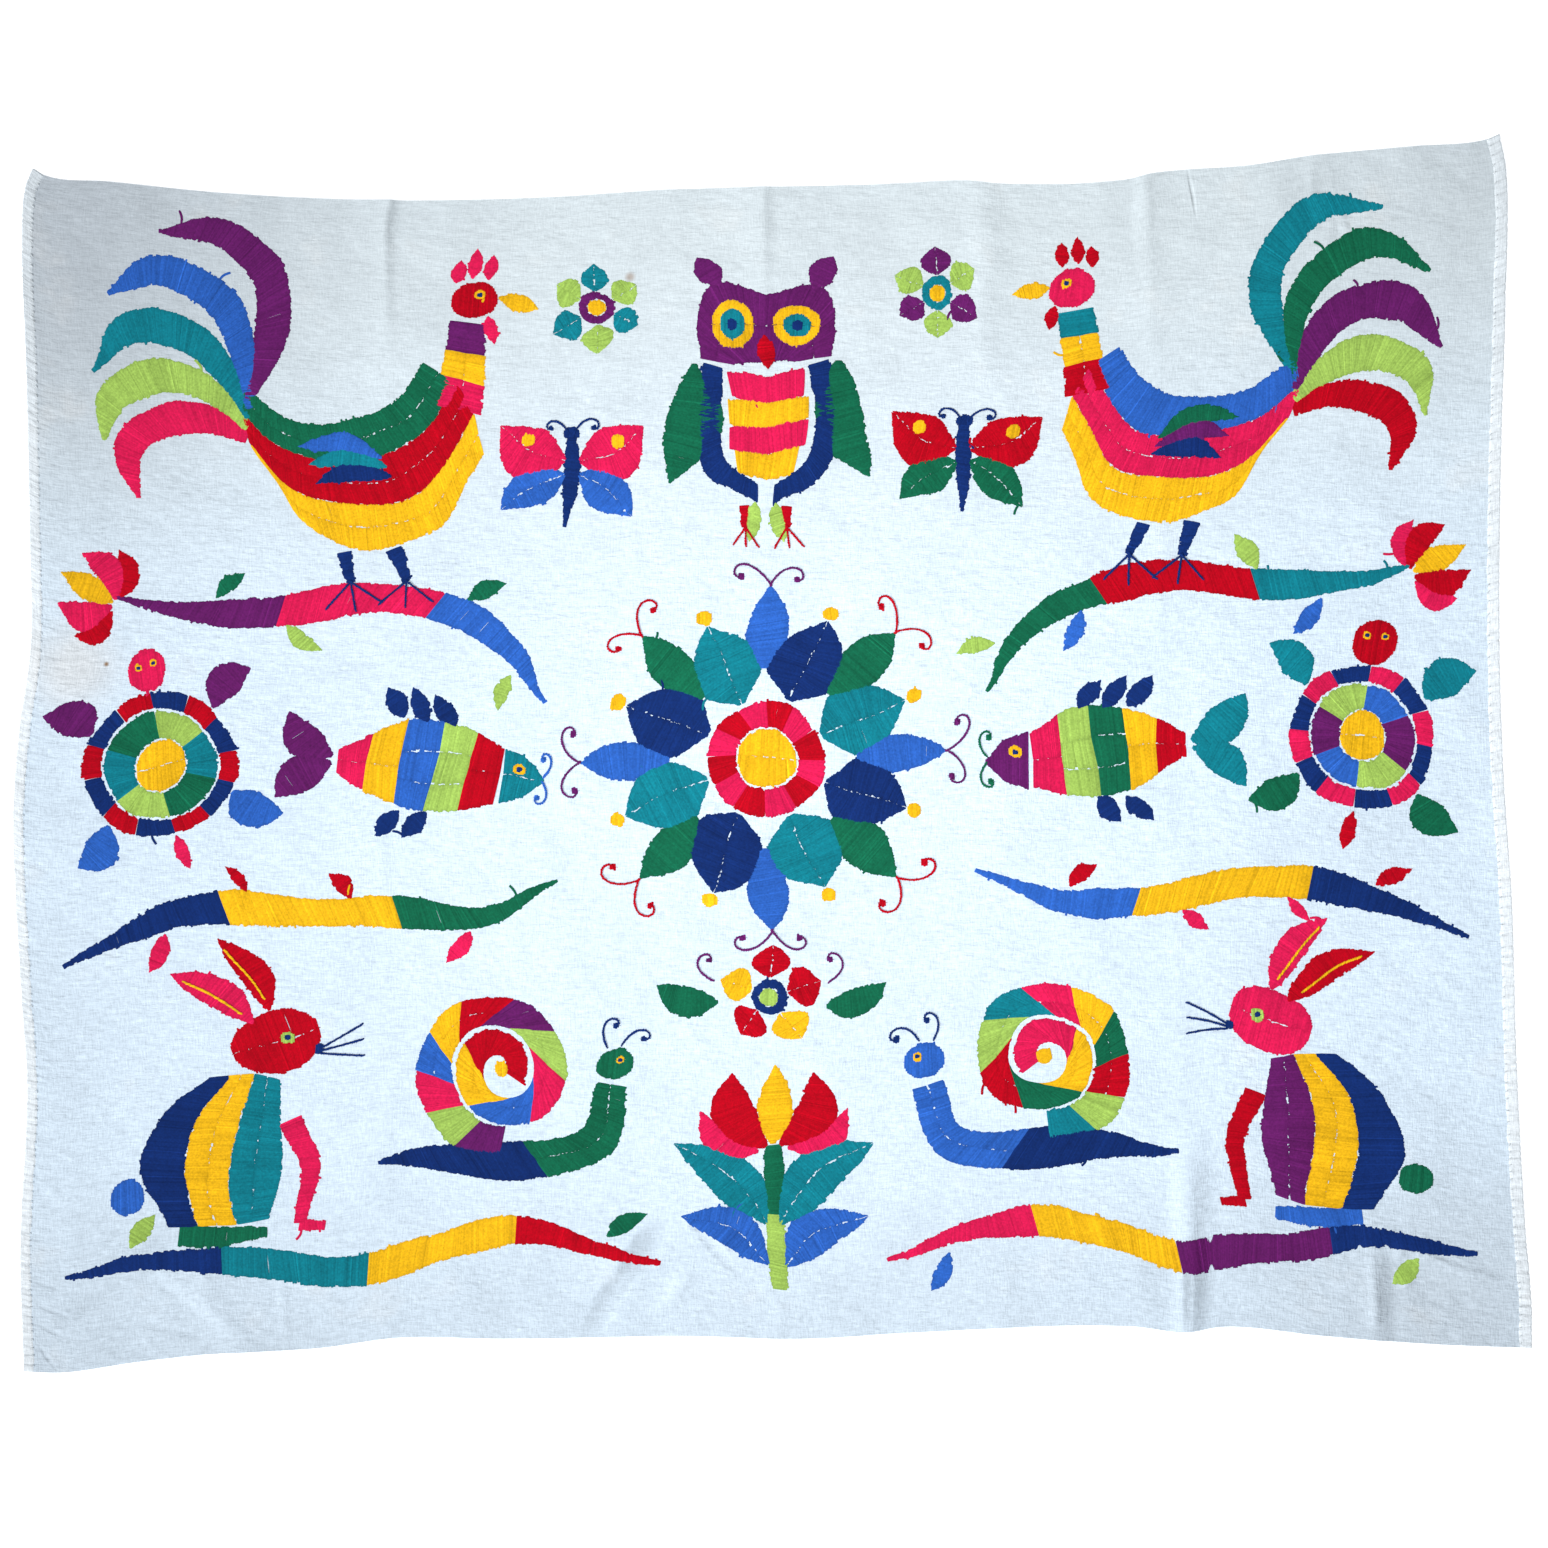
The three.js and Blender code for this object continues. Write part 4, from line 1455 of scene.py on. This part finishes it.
class CLOTH_OT_line_stitches(bpy.types.Operator):
    """Sew the thin lines of the pattern in stem stitch, one piece for each thread"""
    bl_idname = "cloth.line_stitches"
    bl_label = "Line stitches"

    def execute(self, context):
        settings = context.scene.thread_settings
        sheet = LaidSheet(context.scene.cloth_settings)
        pattern = draw_pattern(settings.pitch / MM, settings.stem / MM)
        tree = get_tree("line stitches", line_stitch_tree)
        for seed, name in enumerate(THREADS, start=51):
            own = [line[1:] for line in pattern.lines if line[0] == name]
            lines = [sheet.on_top(run, LINE_RISE + layer * LAYER_RISE) for run, layer in own]
            if not lines:
                continue
            piece = new_object(f"{name}_line_stitches", path_mesh("paths", lines, np.ones(len(lines))))
            grow(piece, tree, {
                "Spacing": settings.stem, "Length": settings.stem_length, "Width": settings.stem_width,
                "Height": settings.stem_height, "Slant": settings.stem_slant, "Seed": seed,
                "Thread": thread_for(name, settings),
            })
            finish_piece(piece)
        return {"FINISHED"}


class CLOTH_OT_sheet(bpy.types.Operator):
    """Make the woven sheet, which replaces the plain cloth and carries the hems and stitches"""
    bl_idname = "cloth.sheet"
    bl_label = "Woven sheet"

    def execute(self, context):
        settings = context.scene.cloth_settings
        laid = LaidSheet(settings)
        piece = new_object("sheet", make_sheet(laid, settings))
        piece.data.materials.append(cotton_material("cotton", settings.cotton, settings))
        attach(piece, BODY)
        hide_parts(CLOTH_NODE)
        return {"FINISHED"}


# The picture's size in pixels, what a pixel is wide on the cloth, and the place of its middle
PICTURE_PIXELS = 1548
PIXEL = 1.075
PICTURE_MIDDLE = (0.54, -22.04)


class CLOTH_OT_stage(bpy.types.Operator):
    """Set up the pale floor, the lights on the left and above, and the camera straight above"""
    bl_idname = "cloth.stage"
    bl_label = "Plain studio"

    def execute(self, context):
        studio = context.scene.studio_settings
        self.make_floor(studio)
        self.make_lights(context, studio)
        self.make_camera(context, studio)
        context.scene.view_settings.view_transform = "Standard"
        return {"FINISHED"}

    def make_floor(self, studio):
        half = studio.floor_half
        corners = np.array([(-half, -half), (half, -half), (half, half), (-half, half)])
        corners = np.column_stack([corners, np.full(4, -studio.floor_gap)])
        floor = new_object("floor", solid_mesh("floor", corners, np.array([[0, 1, 2, 3]])))
        material, nodes, shader = new_material("floor paint")
        nodes.feed(shader, {
            "Base Color": studio.floor,
            "Roughness": 0.9,
            "Specular IOR Level": 0.1,
            "Emission Color": studio.floor,
            "Emission Strength": studio.glow,
        })
        floor.data.materials.append(material)

    def make_lights(self, context, studio):
        world = bpy.data.worlds.new("studio")
        world.use_nodes = True
        background = world.node_tree.nodes["Background"]
        background.inputs["Color"].default_value = studio.sky
        background.inputs["Strength"].default_value = studio.fill
        context.scene.world = world
        key = new_object("key", bpy.data.lights.new("key", "SUN"))
        key.data.energy = studio.sun
        key.data.angle = studio.key_spread
        key.rotation_euler = (0, studio.key_height - math.pi / 2, studio.key_turn)
        lamp = new_object("lamp", bpy.data.lights.new("lamp", "AREA"))
        lamp.data.shape = "DISK"
        lamp.data.size = studio.lamp_width
        lamp.data.energy = studio.lamp
        lamp.location = (0, 0, studio.lamp_height)
        lamp.visible_camera = False

    def make_camera(self, context, studio):
        """The camera looks straight down, with the picture's middle a little below the cloth's."""
        sheet = LaidSheet(context.scene.cloth_settings)
        x, y = (PICTURE_MIDDLE - sheet.middle) * MM
        camera = new_object("camera", bpy.data.cameras.new("camera"))
        camera.data.lens = studio.lens
        width = PICTURE_PIXELS * PIXEL * MM
        camera.location = (x, y, width * camera.data.lens / camera.data.sensor_width)
        context.scene.camera = camera


class CLOTH_PT_panel(bpy.types.Panel):
    """Lists the steps that make the cloth"""
    bl_idname = "CLOTH_PT_panel"
    bl_label = "Embroidered cloth"
    bl_space_type = "VIEW_3D"
    bl_region_type = "UI"
    bl_category = "Cloth"

    def draw(self, context):
        for operator in OPERATORS:
            self.layout.operator(operator.bl_idname)
        for group, kind in SETTINGS.items():
            box = self.layout.box()
            for name in kind.__annotations__:
                box.prop(getattr(context.scene, group), name)


OPERATORS = (
    CLOTH_OT_hems,
    CLOTH_OT_laid_stitches,
    CLOTH_OT_line_stitches,
    CLOTH_OT_sheet,
    CLOTH_OT_stage,
)
SETTINGS = {
    "cloth_settings": ClothSettings,
    "thread_settings": ThreadSettings,
    "studio_settings": StudioSettings,
}


def register():
    for group in (*SETTINGS.values(), *OPERATORS, CLOTH_PT_panel):
        bpy.utils.register_class(group)
    for name, group in SETTINGS.items():
        setattr(bpy.types.Scene, name, bpy.props.PointerProperty(type=group))


def unregister():
    for name in SETTINGS:
        delattr(bpy.types.Scene, name)
    for group in (CLOTH_PT_panel, *OPERATORS, *SETTINGS.values()):
        bpy.utils.unregister_class(group)


def main():
    register()
    bpy.ops.cloth.hems()
    bpy.ops.cloth.laid_stitches()
    bpy.ops.cloth.line_stitches()
    bpy.ops.cloth.sheet()
    bpy.ops.cloth.stage()


if __name__ == "__main__":
    main()
